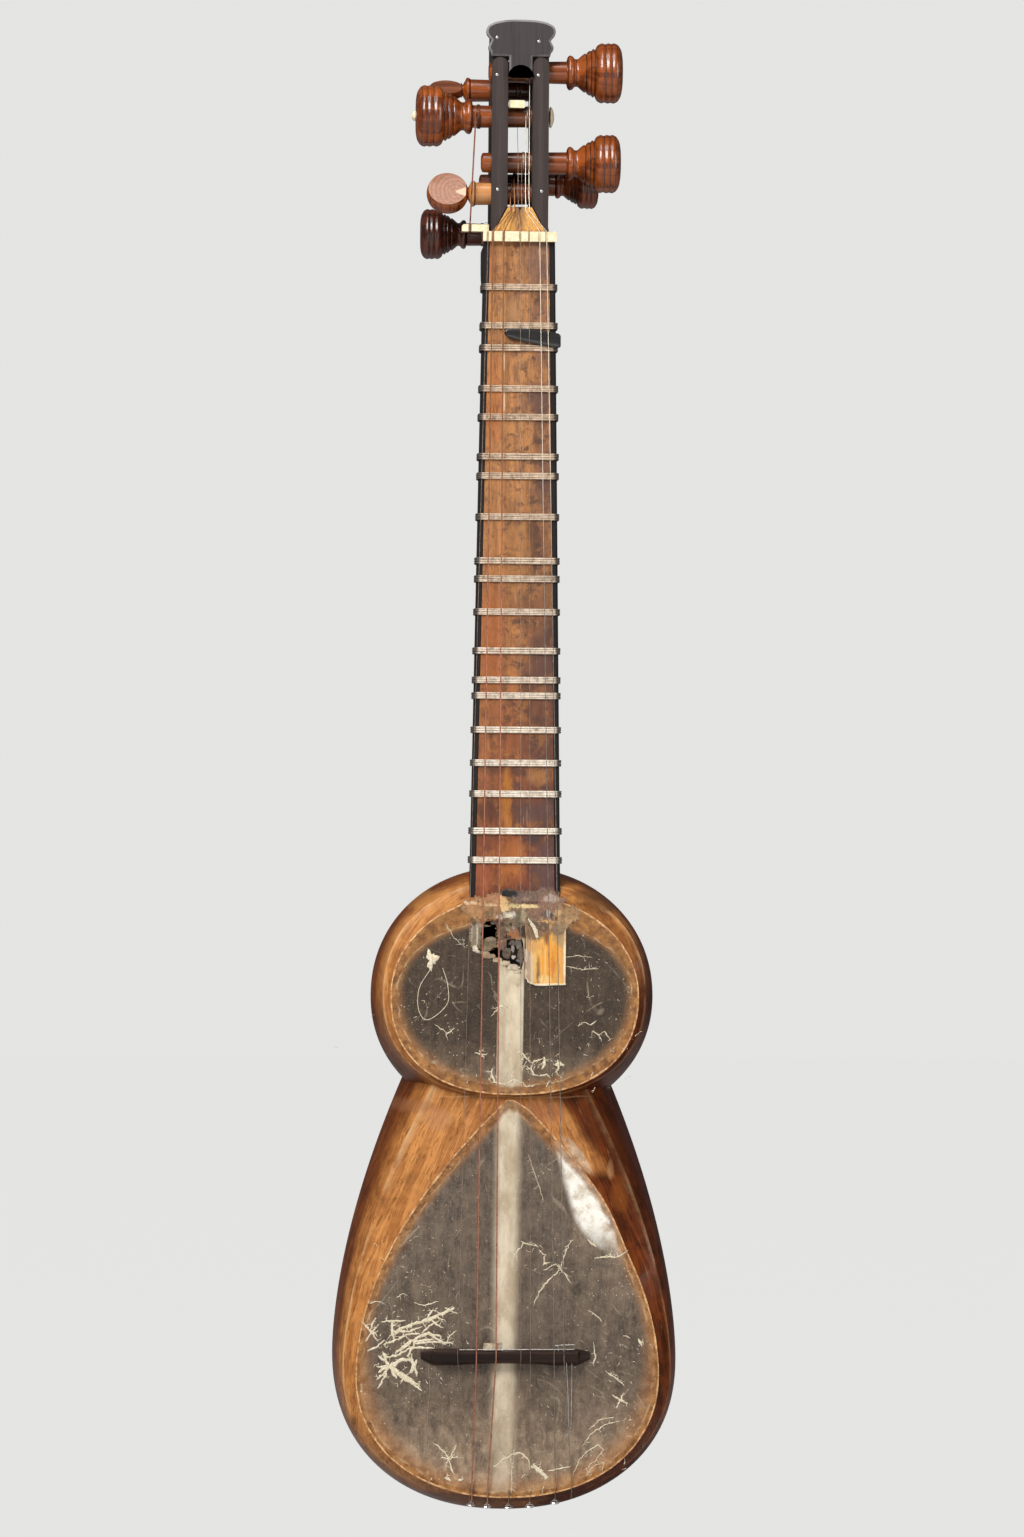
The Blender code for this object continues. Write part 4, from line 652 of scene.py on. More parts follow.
END_GRAIN = finish("end_grain", paint_end_grain, Coat_Weight=0.3, Coat_Roughness=0.2)
LEAF_FACE = wood("leaf_face", (0.30, 0.100, 0.044), (0.14, 0.040, 0.018), "X", rough=0.3, coat=0.5)
print("peg woods made")

# %% [markdown]
# ## Meshes
#
# Everything here is swept, turned or lofted, as it is on the bench: rings of points, joined by quads.

# %%
def mesh_object(name, points, faces, look, at=(0.0, 0.0, 0.0), smooth=40, second=None):
    """An object from points in millimetres. second is another look and the numbers of the faces that get it."""
    mesh = bpy.data.meshes.new(name)
    mesh.from_pydata([Vector(p) * MM for p in points], [], faces)
    mesh.update()
    mesh.shade_smooth()
    mesh.set_sharp_from_angle(angle=math.radians(smooth))
    mesh.materials.append(look)
    if second:
        mesh.materials.append(second[0])
        for number in second[1]:
            mesh.polygons[number].material_index = 1
    obj = bpy.data.objects.new(name, mesh)
    obj.location = Vector(at) * MM
    bpy.context.scene.collection.objects.link(obj)
    bpy.context.view_layer.update()
    return obj


def skinned(rings, closed=False):
    """Faces over rings of equal length, with a face at each end. closed joins the last ring to the first."""
    count = len(rings[0])
    points = [p for ring in rings for p in ring]
    faces = []
    last = len(rings) if closed else len(rings) - 1
    for row in range(last):
        base, following = row * count, (row + 1) % len(rings) * count
        for i in range(count):
            j = (i + 1) % count
            faces.append((base + i, base + j, following + j, following + i))
    if not closed:
        faces += [tuple(range(count))[::-1], tuple(range(len(points) - count, len(points)))]
    return points, faces


def merged(parts):
    """Several meshes as one."""
    points, faces = [], []
    for more_points, more_faces in parts:
        faces += [tuple(i + len(points) for i in face) for face in more_faces]
        points += more_points
    return points, faces


def circle(steps, start=0.0):
    return [start + 2 * math.pi * i / steps for i in range(steps)]


def round_wire(route, radius, sides=8):
    """A wire of round section along a route, with a frame that doesn't twist."""
    path = [Vector(p) for p in route]
    side, rings = None, []
    for i, here in enumerate(path):
        along = (path[min(i + 1, len(path) - 1)] - path[max(i - 1, 0)]).normalized()
        if side is None:
            side = along.orthogonal().normalized()
        side = (side - along * side.dot(along)).normalized()
        other = along.cross(side)
        size = radius[i] if isinstance(radius, list) else radius
        rings.append([here + size * (math.cos(a) * side + math.sin(a) * other) for a in circle(sides)])
    return skinned(rings)


def curve_through(points, steps=8):
    """A smooth curve through the points."""
    path = [Vector(p) for p in points]
    padded = [path[0] * 2 - path[1]] + path + [path[-1] * 2 - path[-2]]
    out = []
    for i in range(len(path) - 1):
        out += [smooth_step(padded[i:i + 4], k / steps) for k in range(steps)]
    return out + [path[-1]]


def smooth_step(four, t):
    """A place between the middle two of four values, on the smooth curve through them."""
    a, b, c, d = four
    return 0.5 * ((2 * b) + (c - a) * t + (2 * a - 5 * b + 4 * c - d) * t * t + (3 * b - a - 3 * c + d) * t ** 3)


print("mesh helpers ready")

# %% [markdown]
# ## The bowls
#
# The outlines are those of the CAD model, with more of them and more points on each, and rounded between them.
# Each bowl is one closed shell: over the outside to the rim, in across the ledge that the skin is glued to, and
# down the inside.

# %%
# Each row: depth, height of the widest line, half width, reach above and below it, width left at the top,
# power and root of the upper side, roundness of the lower end.
LOWER_CONTROL = [
    (2.5, -650.9, 86.8, 157.3, 70.4, 0.015, 1.9, 1.0, 2.15),
    (9.0, -647.9, 94.2, 170.0, 77.0, 0.42, 1.7, 1.0, 2.15),
    (24.5, -645.4, 98.0, 173.0, 84.5, 0.49, 1.7, 1.0, 2.2),
    (60.0, -643.0, 99.8, 171.0, 92.0, 0.55, 1.7, 1.0, 2.2),
]
UPPER_CONTROL = [
    (0.0, -433.6, 71.0, 57.2, 56.9, 0.0, 2.03, 1 / 2.03, 2.32),
    (3.0, -433.6, 75.3, 65.3, 58.8, 0.0, 2.2, 1 / 2.2, 2.3),
    (12.0, -434.4, 77.7, 69.5, 62.5, 0.0, 2.2, 1 / 2.2, 2.2),
    (26.0, -435.2, 80.7, 73.5, 68.0, 0.0, 2.1, 1 / 2.1, 2.1),
    (45.0, -435.9, 81.7, 75.1, 71.5, 0.0, 2.1, 1 / 2.1, 2.1),
]
UPPER_SHIFT, LOWER_SHIFT = 0.3, -2.3
SWELL, SWELL_FOOT, SWELL_RISE = 4.3, -585.0, 40.0


def swollen(x, z):
    """The pointed rim isn't a mirror of itself: above its widest line the right side stands further out."""
    up = min(1.0, max(0.0, (z - SWELL_FOOT) / SWELL_RISE))
    beside = min(1.0, max(0.0, (x - LOWER_SHIFT) / 6.0))
    return x + SWELL * up * up * (3 - 2 * up) * beside


def outline(ring, shift, steps=36):
    y, z0, half, top, bottom, flat, power, root, roundness = ring
    right = []
    for i in range(steps):
        rise = i / (steps - 1) if root > 0.6 else math.sin(math.radians(90 * i / (steps - 0.5)))
        width = flat + (1 - flat) * max(0.0, 1 - rise ** power) ** root
        right.append((half * width, top * rise))
    low = []
    for i in range(1, steps + 1):
        a = math.radians(90 * i / steps)
        low.append((half * math.cos(a) ** (2 / roundness), -bottom * math.sin(a) ** (2 / roundness)))
    left = [(-x, z) for x, z in reversed(right)] + [(-x, z) for x, z in low]
    points = [(x + shift, y, z + z0) for x, z in right + left + list(reversed(low[:-1]))]
    if 0.0 < flat < 0.1:
        points = [(swollen(x, z), y, z) for x, y, z in points]
    return points


def deepened(control, depth, shrink, steps=18, between=6):
    """The rim, the outlines from the crease on with smooth ones between them, then the rounded back."""
    last = control[-1]
    beyond = (2 * last[0] - control[-2][0], *control[-2][1:])
    start = tuple(2 * a - b for a, b in zip(control[1], control[2]))
    padded = [start, *control[1:], beyond]
    rings = [control[0], control[1]]
    for i in range(len(control) - 2):
        for k in range(between):
            mixed = [smooth_step(four, (k + 1) / between) for four in zip(*padded[i:i + 4])]
            rings.append((*mixed[:7], 1.0 if last[7] == 1.0 else 1 / mixed[6], mixed[8]))
    for i in range(1, steps):
        angle = math.radians(90 * i / steps)
        drop, size = math.sin(angle) ** 0.9, math.cos(angle) ** 0.9
        flat, root = last[5] * (1 - i / steps), last[7] + (1 / last[6] - last[7]) * (i / steps) ** 2
        rings.append((last[0] + (depth - last[0]) * drop, last[1], last[2] * size, last[3] * size ** shrink,
                      last[4] * size, flat, last[6], root, last[8]))
    return rings


def bowl(control, depth, shrink, shift, mouth, wall=5.5, lip=4.0):
    """One closed shell. mouth is how far the opening lies inside the rim: sides, top, bottom."""
    outer = [outline(r, shift) for r in deepened(control, depth, shrink)]
    rim = control[0]
    edge = (rim[0], rim[1], rim[2] - mouth[0], rim[3] - mouth[1], rim[4] - mouth[2], *rim[5:])
    lower_edge = (rim[0] + lip, *edge[1:])
    shrunk = [(r[0], r[1], r[2] - wall, r[3] - wall, r[4] - wall, *r[5:]) for r in control[2:]]
    inner_rings = deepened([lower_edge, *shrunk], depth - wall, shrink)
    inner = [outline(edge, shift), outline(lower_edge, shift)] + [outline(r, shift) for r in inner_rings[1:]]
    return skinned(list(reversed(outer)) + inner)


upper = bowl(UPPER_CONTROL, 125.0, 1.0, UPPER_SHIFT, (3.0, 14.0, 6.0))
lower = bowl(LOWER_CONTROL, 160.0, 1.6, LOWER_SHIFT, (3.0, 9.0, 6.0))
both = merged((upper, lower))
of_lower = range(len(upper[1]), len(both[1]))
body_bowls = mesh_object("body_bowls", *both, UPPER_WOOD, smooth=28, second=(LOWER_WOOD, of_lower))
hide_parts("bowl_left", "bowl_right")
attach(body_bowls, "body")
print("bowls:", len(both[0]), "points")

# %% [markdown]
# ## Glue along the skins' edges
#
# A skin is soaked, stretched over the rim, glued and trimmed. The trimmed edge and the dried glue show as a thin
# light line all round, broken and uneven.

# %%
UPPER_FACE, LOWER_FACE = -0.9, 1.6
drum = [[(x, y, z) for x, _, z in outline(LOWER_CONTROL[0], LOWER_SHIFT, 60)] for y in (2.2, LOWER_FACE)]
drum = mesh_object("lower_drum", *skinned(drum), LOWER_SKIN)
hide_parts("skin_lower")
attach(drum, "body")


def rim_bead(name, ring, shift, face, seed):
    draw = random.Random(seed)
    loop = [Vector((x, 0.0, z)) for x, y, z in outline(ring, shift, 60)]
    widths = [draw.uniform(0.35, 1.15) for _ in loop]
    rings = []
    for i, here in enumerate(loop):
        along = (loop[(i + 1) % len(loop)] - loop[i - 1]).normalized()
        outward = Vector((-along.z, 0.0, along.x)) * -1.0
        wide = (widths[i - 1] + widths[i] + widths[(i + 1) % len(loop)]) / 3
        edge, inner = here + outward * 0.12, here - outward * wide
        rings.append([edge + Vector((0, face + 0.6, 0)), edge + Vector((0, face - 0.12, 0)),
                      inner + Vector((0, face - 0.16, 0)), inner + Vector((0, face + 0.05, 0))])
    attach(mesh_object(name, *skinned(rings, closed=True), RIM_GLUE, smooth=50), "body")


rim_bead("rim_bead_upper", UPPER_CONTROL[0], UPPER_SHIFT, UPPER_FACE, 3)
rim_bead("rim_bead_lower", LOWER_CONTROL[0], LOWER_SHIFT, LOWER_FACE, 4)
print("edges glued")

# %% [markdown]
# ## The pegs
#
# Each peg is turned on a lathe from one billet, head and shaft together, and ringed with beads and grooves. The
# ball heads are turned as well and then planed on two sides for the fingers.

# %%
KNOB_SHAPE = ((0.0, 0.37), (0.022, 0.52), (0.063, 0.58), (0.116, 0.54), (0.147, 0.47), (0.203, 0.465),
              (0.26, 0.555), (0.328, 0.65), (0.35, 0.62), (0.375, 0.69), (0.42, 0.75), (0.435, 0.725),
              (0.48, 0.81), (0.51, 0.77), (0.54, 0.89), (0.575, 0.95), (0.635, 0.995), (0.69, 0.965),
              (0.75, 1.0), (0.80, 0.975), (0.85, 1.0), (0.90, 0.965), (0.935, 0.91), (0.98, 0.76), (1.0, 0.56))


def knob(size):
    return [(along * KNOB_LENGTH * size, radius * KNOB_RADIUS * size) for along, radius in KNOB_SHAPE]


def ball(size):
    """A collar, a thin neck and a ball, and where the ball's middle is."""
    radius = BALL_RADIUS * size
    neck = [(0.0, 6.6), (1.0, 7.4), (2.3, 7.4), (3.2, 5.4), (4.4, 3.4)]
    middle = 4.4 + radius * 0.97
    arc = []
    for i in range(61):
        angle = math.radians(160 - 2.65 * i)
        arc.append((middle + radius * math.cos(angle), radius * math.sin(angle)))
    return [(a, r) for a, r in neck if a < arc[0][0]] + arc, middle


def softened(profile, steps=3):
    """The same profile with its corners rounded a little, as sandpaper leaves them."""
    points = [Vector((a, r, 0.0)) for a, r in profile]
    return [(p.x, max(p.y, 0.01)) for p in curve_through(points, steps)]


# Each row: side, height and depth of the axis, head, reach, size, tail, turn and half thickness of the planed
# ball, wood, and the look of the planed faces.
PEGS = {
    "peg_r1": (1, 95.8, 12.3, "knob", 10.4, 1.00, 1.7, 0, 0, RED_BROWN, None),
    "peg_r2": (1, 43.7, 12.3, "knob", 10.6, 0.97, 5.7, 0, 0, RED_BROWN, None),
    "peg_r3": (1, 34.6, 42.0, "knob", 5.6, 0.79, 5.7, 0, 0, DARK_RED, None),
    "peg_l1": (-1, 70.1, 12.3, "knob", 10.6, 1.02, 0.6, 0, 0, RED_BROWN, None),
    "peg_l2": (-1, 88.8, 42.0, "ball", 11.0, 0.82, 0.6, -60, 2.2, RED_BROWN, LEAF_FACE),
    "peg_l3": (-1, 25.8, 12.3, "ball", 8.7, 1.00, 0.6, -30, 4.6, RED_BROWN, END_GRAIN),
    "peg_l4": (-1, 5.3, 42.0, "knob", 12.5, 0.84, 0.6, 0, 0, BLACK_RED, None),
}
QUARTER_STEPS = 12


def shaft_radius(side, x):
    return 6.3 - 0.018 * (HALF_BOX - side * x)


def planed_ring(radius, flat):
    """A circle, cut flat on two sides where it reaches past them. The corners fall on points."""
    edge = math.acos(flat / radius) if radius > flat > 0 else 0.0
    edge = max(edge, math.radians(6.0))
    quarter = [edge * k / QUARTER_STEPS for k in range(QUARTER_STEPS)]
    quarter += [edge + (math.pi / 2 - edge) * k / QUARTER_STEPS for k in range(QUARTER_STEPS)]
    angles = quarter + [math.pi / 2] + [math.pi - a for a in reversed(quarter)]
    angles += [math.pi + a for a in quarter[1:]] + [math.pi * 1.5] + [2 * math.pi - a for a in reversed(quarter[1:])]
    limit = flat if flat > 0 else radius
    return [(max(-limit, min(limit, radius * math.cos(a))), radius * math.sin(a)) for a in angles]


def turn_peg(name, side, z, y, head, reach, size, tail, turn, flat, tones, face_look):
    thin, start = -HALF_BOX - tail, HALF_BOX + reach
    top = softened(knob(size)) if head == "knob" else ball(size)[0]
    profile = [(thin, 0.6 * shaft_radius(side, side * thin)), (thin + 0.5, 0.9 * shaft_radius(side, side * thin)),
               (thin + 1.2, shaft_radius(side, side * thin)), (start, shaft_radius(side, side * start))]
    profile += [(start + a + 0.01, r) for a, r in top]
    planed_from = start + ball(size)[1] - 0.86 * BALL_RADIUS * size if head == "ball" else math.inf
    angle = math.radians(turn)
    rings, cut_rows = [], set()
    for row, (along, radius) in enumerate(profile):
        planed = along > planed_from
        if planed and radius > flat:
            cut_rows.add(row)
        rings.append([(side * along, u * math.cos(angle) - v * math.sin(angle),
                       u * math.sin(angle) + v * math.cos(angle))
                      for u, v in planed_ring(radius, flat if planed else 0.0)])
    points, faces = skinned(rings)
    count = len(rings[0])
    on_face = {i for i in range(count) if min(i % (count // 2), -i % (count // 2)) <= QUARTER_STEPS}
    flat_faces = [row * count + i for row in cut_rows if row + 1 in cut_rows for i in range(count)
                  if i in on_face and (i + 1) % count in on_face]
    head_start = start
    look = peg_wood(name + "_wood", *tones, head_start, size if head == "knob" else 0.9,
                    (0.60, 0.26, 0.085) if name == "peg_l3" else None)
    obj = mesh_object(name + "_turned", points, faces, look, (0.0, y, z), smooth=32,
                      second=(face_look, flat_faces) if face_look else None)
    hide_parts(name)
    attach(obj, name)


for peg_name, values in PEGS.items():
    turn_peg(peg_name, *values)
print("pegs turned:", len(PEGS))

# %% [markdown]
# ## The frets
#
# Each fret is gut, soaked, wound three or four times round the neck and knotted at the side. The strands lie
# side by side, so a fret is a ribbed band and not a bar. The spacing is not even: these are the steps of the
# mode, with small intervals that a guitar doesn't have.

# %%
NECK_LENGTH, STRING_LENGTH = 377.5, 636.0


def neck_loop(z, grow):
    """The neck's section as a closed loop: flat front, eased corners, round back."""
    squareness = 2.3 + 1.9 * max(0.0, 1.0 + z / 75.0)
    half = 20.3 + (26.0 - 20.3) * -z / NECK_LENGTH + grow
    reach = 31.0 + 3.0 * -z / NECK_LENGTH - 11.0 + grow
    loop = [(-half, 1.0 - grow / 2), (-half + 1.0, -grow)]
    loop += [((-half + 1.0) + (2 * half - 2.0) * k / 8, -grow) for k in range(1, 8)]
    loop += [(half - 1.0, -grow), (half, 1.0 - grow / 2)]
    for i in range(25):
        a = math.pi * i / 24
        across = abs(math.cos(a)) ** (2 / squareness) * math.copysign(1, math.cos(a))
        loop.append((half * across, 11.0 + reach * math.sin(a) ** (2 / squareness)))
    return loop


FRET_CENTS = (80, 144, 182, 254, 306, 381, 419, 502, 596, 636, 712, 806, 880, 921, 1014, 1109, 1203, 1323, 1423)
FRET_WIDTH = 3.8
rng = random.Random(7)


def wind_fret(number, cents):
    """The strands of one fret, side by side, a little flattened where they press on the neck."""
    centre = -STRING_LENGTH * (1 - 2 ** (-cents / 1200))
    strands = 4 if number % 3 else 3
    half = FRET_WIDTH / strands / 2
    high = min(half, 0.5)
    parts = []
    for s in range(strands):
        middle = centre - FRET_WIDTH / 2 + (2 * s + 1) * half
        drift = rng.uniform(-0.10, 0.10) * (1 if 0 < s < strands - 1 else 0.3)
        rings = []
        for i, (x, y) in enumerate(neck_loop(centre, 0.3 + high)):
            wave = drift * math.sin(i * 0.7 + s)
            out = Vector((x, y - 9.0, 0.0)).normalized() if y >= 0.5 else Vector((0.0, -1.0, 0.0))
            rings.append([(x + high * math.cos(a) * out.x, y + high * math.cos(a) * out.y,
                           middle + wave + half * 0.98 * math.sin(a)) for a in circle(8)])
        parts.append(skinned(rings, closed=True))
    obj = mesh_object(f"fret_{number:02d}_wound", *merged(parts), GUT, smooth=60)
    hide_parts(f"fret_{number:02d}")
    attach(obj, f"fret_{number:02d}")


for number, cents in enumerate(FRET_CENTS, start=1):
    wind_fret(number, cents)
print("frets wound:", len(FRET_CENTS))

# %% [markdown]
# ## The strings
#
# Plain steel for the trebles and copper for the basses, each drawn as a thin smooth wire along the same route as
# in the CAD model: from its hitch at the tail, over the rim, the bridge and the nut, and into the slot. They are
# thinner here than the solids, which have to be thick enough to print.

# %%
def tail_surface(x, y):
    """Height of the lower bowl's tail end at one place across and one depth."""
    near, far = LOWER_CONTROL[0], LOWER_CONTROL[1]
    heights = [r[1] - r[4] * (1 - min(1.0, abs(x - LOWER_SHIFT) / r[2]) ** r[8]) ** (1 / r[8]) for r in (near, far)]
    return heights[0] + (heights[1] - heights[0]) * (y - near[0]) / (far[0] - near[0])


# Each row: CAD radius, place across at the nut, bridge, tail and slot, and peg.
STRINGS = {
    "string_1": (0.3, -18.2, -31.2, -23.6, 0.0, "peg_l4"), "string_2": (0.5, -15.4, -20.5, -22.2, -5.4, "peg_l3"),
    "string_3": (0.5, -9.2, -9.3, -13.2, -3.0, "peg_r3"), "string_4": (0.3, 0.4, 4.9, -1.1, -0.9, "peg_l2"),
    "string_5": (0.3, 5.4, 10.3, 11.0, 1.2, "peg_r2"), "string_6": (0.3, 11.4, 23.8, 25.6, 3.4, "peg_l1"),
    "string_7": (0.3, 15.4, 29.5, 34.9, 5.4, "peg_r1"),
}
GAP, EYE_Y, EYE_RADIUS, EYE_WIRE, EYE_DROP, EYE_TILT = 0.3, 6.5, 2.4, 0.6, 1.2, math.radians(15.5)
STEEL_WIRE, PALE_RADIUS, COPPER_WIRE = 0.13, 0.22, 0.40
BRIDGE_Z, BRIDGE_TOP, NUT_TOP = -636.0, -9.5, -3.2


def slot_route(radius, x, peg):
    """From the fingerboard's point to the front of the peg, passing over the pegs below it."""
    side, z, y = PEGS[peg][:3]
    clear = shaft_radius(side, x) + GAP + radius
    front, low = 12.3 - 6.3 - GAP - radius, PEGS["peg_l3"][1]
    start = [(x, -GAP - radius - 0.3, 15.0), (x, -GAP - radius, 17.6)]
    if peg == "peg_l3":
        return start + [(x, y - clear, z)]
    if y == 12.3:
        return start + [(x, front, low), (x, y - clear, z)]
    passed = PEGS["peg_l3" if peg == "peg_r3" else "peg_r2"][1]
    return start + [(x, front, low), (x, front, passed + 2.5), (x, 12.3, passed + 9.1 + radius), (x, y - clear, z)]


def string_route(radius, nut_x, bridge_x, tail_x, slot_x, peg):
    over = LOWER_FACE - GAP - radius
    rim = tail_surface(tail_x, 2.5)
    end_y = EYE_Y - EYE_RADIUS * math.cos(EYE_TILT) - EYE_WIRE - GAP - radius
    end_z = tail_surface(tail_x, EYE_Y + EYE_RADIUS) - EYE_DROP - 2 * EYE_RADIUS * math.sin(EYE_TILT)
    route = [(tail_x, end_y, end_z), (tail_x, over, rim - 0.5 * radius), (tail_x, over - 0.5, rim + 2.5),
             (bridge_x, BRIDGE_TOP, BRIDGE_Z - 4.75), (bridge_x, BRIDGE_TOP, BRIDGE_Z),
             (nut_x, NUT_TOP, -2.85), (nut_x, NUT_TOP, 2.85)]
    if peg == "peg_l4":
        top = 7.1 + GAP + radius
        return route + [(nut_x, 0.3 - radius, top), (nut_x, 7.0, top + 1.0),
                        (nut_x, PEGS[peg][2], PEGS[peg][1] + 6.7 + radius)]
    return route + slot_route(radius, slot_x, peg)


def hitch(name, x, radius, look, turns=4):
    """The twisted end of a string, round itself, just above its eye in the tail."""
    rim = tail_surface(x, 2.5)
    core, path = radius + STEEL_WIRE + 0.05, []
    for k in range(turns * 10 + 1):
        a = 2 * math.pi * k / 10
        path.append((x + core * math.cos(a), LOWER_FACE - 0.9 - core + core * math.sin(a), rim + 2.8 + 0.42 * k / 10))
    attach(mesh_object(name, *round_wire(path, STEEL_WIRE, 6), look, smooth=60), "body")


WIRES = {name: (STEEL_WIRE, STEEL) for name in STRINGS}
WIRES.update(string_2=(COPPER_WIRE, COPPER), string_3=(COPPER_WIRE, COPPER))
WIRES.update(string_6=(PALE_RADIUS, PALE_WIRE), string_7=(PALE_RADIUS, PALE_WIRE))
for name, values in STRINGS.items():
    radius, look = WIRES[name]
    obj = mesh_object(name + "_drawn", *round_wire(string_route(*values), radius, 8), look, smooth=60)
    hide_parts(name)
    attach(obj, "body")
    if name != "string_7":
        hitch(name.replace("string", "hitch"), values[3], radius, FLAKE if name == "string_5" else STEEL)
print("strings drawn:", len(STRINGS))

# %% [markdown]
# ## Pieces that keep their CAD form
#
# The rest keep the imported shape and get a finish each. Dark wood is painted light along its eased edges, as rubbed
# wear with a painted highlight. The plate of the patch is thin: amber where wood lies behind it, brown and clear above.

# %%
def rubbed_and_lit_edges(place, colour):
    """Light on the eased edges, rubbed and with a painted highlight that is brighter towards the top: the cap's at the
    front, and the outer corners of the strips and the neck. A painted highlight also runs down the middle of each
    strip.
    """
    x, y, z = place.axes()
    on_cap = z.ramp(103.0, 103.2).most(abs(x).ramp(6.8, 6.9, 1.0, 0.0) * z.ramp(80.0, 80.5))
    colour = (on_cap * 0.6).blend(colour, (0.052, 0.046, 0.046))
    # Painted highlight down the middle of each strip, as on a rounded face.
    middle = abs(x).band(11.8, 1.6, 2.0) * y.ramp(-0.2, 0.4, 1.0, 0.0) * on_cap.ramp(0.0, 1.0, 1.0, 0.0)
    colour = (middle * 0.4).blend(colour, (0.100, 0.072, 0.064))
    lines = place.scaled((1.0, 1.0, 0.02)).noise(1.1, 3.0, 0.6).ramp(0.42, 0.62)
    colour = (lines * 0.35).blend(colour, (0.020, 0.014, 0.012))
    # The filed slope: rubbed wear with a painted highlight, brighter towards the top.
    chamfer = y.band(-0.95, 0.5, 0.06) * z.ramp(80.0, 80.5)
    worn = place.noise(0.10, 3.0).ramp(0.30, 0.55, 0.6, 1.0)
    return (chamfer * worn * z.ramp(100.0, 112.0, 0.7, 1.0)).blend(colour, (0.23, 0.215, 0.21))


PLATE_MARKS = (
    (529, 962, 5, 30, (0.42, 0.290, 0.185), 1.0), (533, 965, 2.2, 26, (0.66, 0.500, 0.340), 0.9),
    (539, 958, 5, 18, (0.84, 0.500, 0.140), 0.9), (536, 946, 7, 6, (0.66, 0.330, 0.090), 0.8),
    (539.5, 971, 1.9, 15, (0.20, 0.085, 0.035), 0.9), (551, 958, 9, 24, (0.80, 0.310, 0.020), 0.9),
    (547.5, 936, 2.6, 8, (0.19, 0.060, 0.012), 0.9), (554.5, 939, 2.0, 9, (0.86, 0.420, 0.060), 0.9),
    (554.5, 966, 2.4, 10, (0.62, 0.190, 0.022), 0.6), (546.5, 962, 1.2, 18, (0.88, 0.560, 0.180), 0.6),
    (562.5, 962, 3.6, 18, (0.80, 0.370, 0.090), 0.8), (558, 976, 3.0, 5, (0.82, 0.400, 0.080), 0.7),
    (546, 979, 6, 4, (0.88, 0.620, 0.260), 0.7), (533, 933, 8, 8, (0.16, 0.085, 0.040), 0.95),
    (541, 930, 6, 8, (0.20, 0.110, 0.055), 0.9), (560, 930, 6, 12, (0.28, 0.185, 0.095), 0.95),
    (563, 940, 3, 6, (0.42, 0.290, 0.160), 0.7), (551, 927, 3, 6, (0.34, 0.150, 0.045), 0.8),
    (527.5, 954, 1.3, 7, (0.70, 0.600, 0.450), 0.8), (527, 972, 1.5, 3, (0.66, 0.500, 0.330), 0.8),
    (565.8, 960, 1.0, 24, (0.90, 0.760, 0.520), 1.0), (550, 984.2, 18, 1.2, (0.90, 0.740, 0.460), 1.0),
)


def paint_patch(place):
    x, y, z = place.axes()
    fibre, pore, stretched = fibres(place, "Z", 0.8)
    long_grain = place.scaled((1.0, 1.0, 0.16)).noise(0.6, 4.0, 0.65)
    colour = long_grain.ramp(0.35, 0.65).blend((0.60, 0.270, 0.050), (0.90, 0.520, 0.150))
    colour, _ = blots(place, colour, PLATE_MARKS, 0.45, 0.9, (1.0, 1.0, 0.5), 4.0)
    colour = (long_grain.ramp(0.54, 0.66) * 0.45).blend(colour, (0.42, 0.150, 0.030))
    chip = place.noise(0.7, 4.0, 0.75).ramp(0.62, 0.69)
    colour = (chip * 0.4).blend(colour, (0.82, 0.68, 0.48))
    return {"Base Color": colour, "Roughness": (0.25 + fibre * 0.2).clamp(), "height": (0.4, 0.25, fibre + chip)}


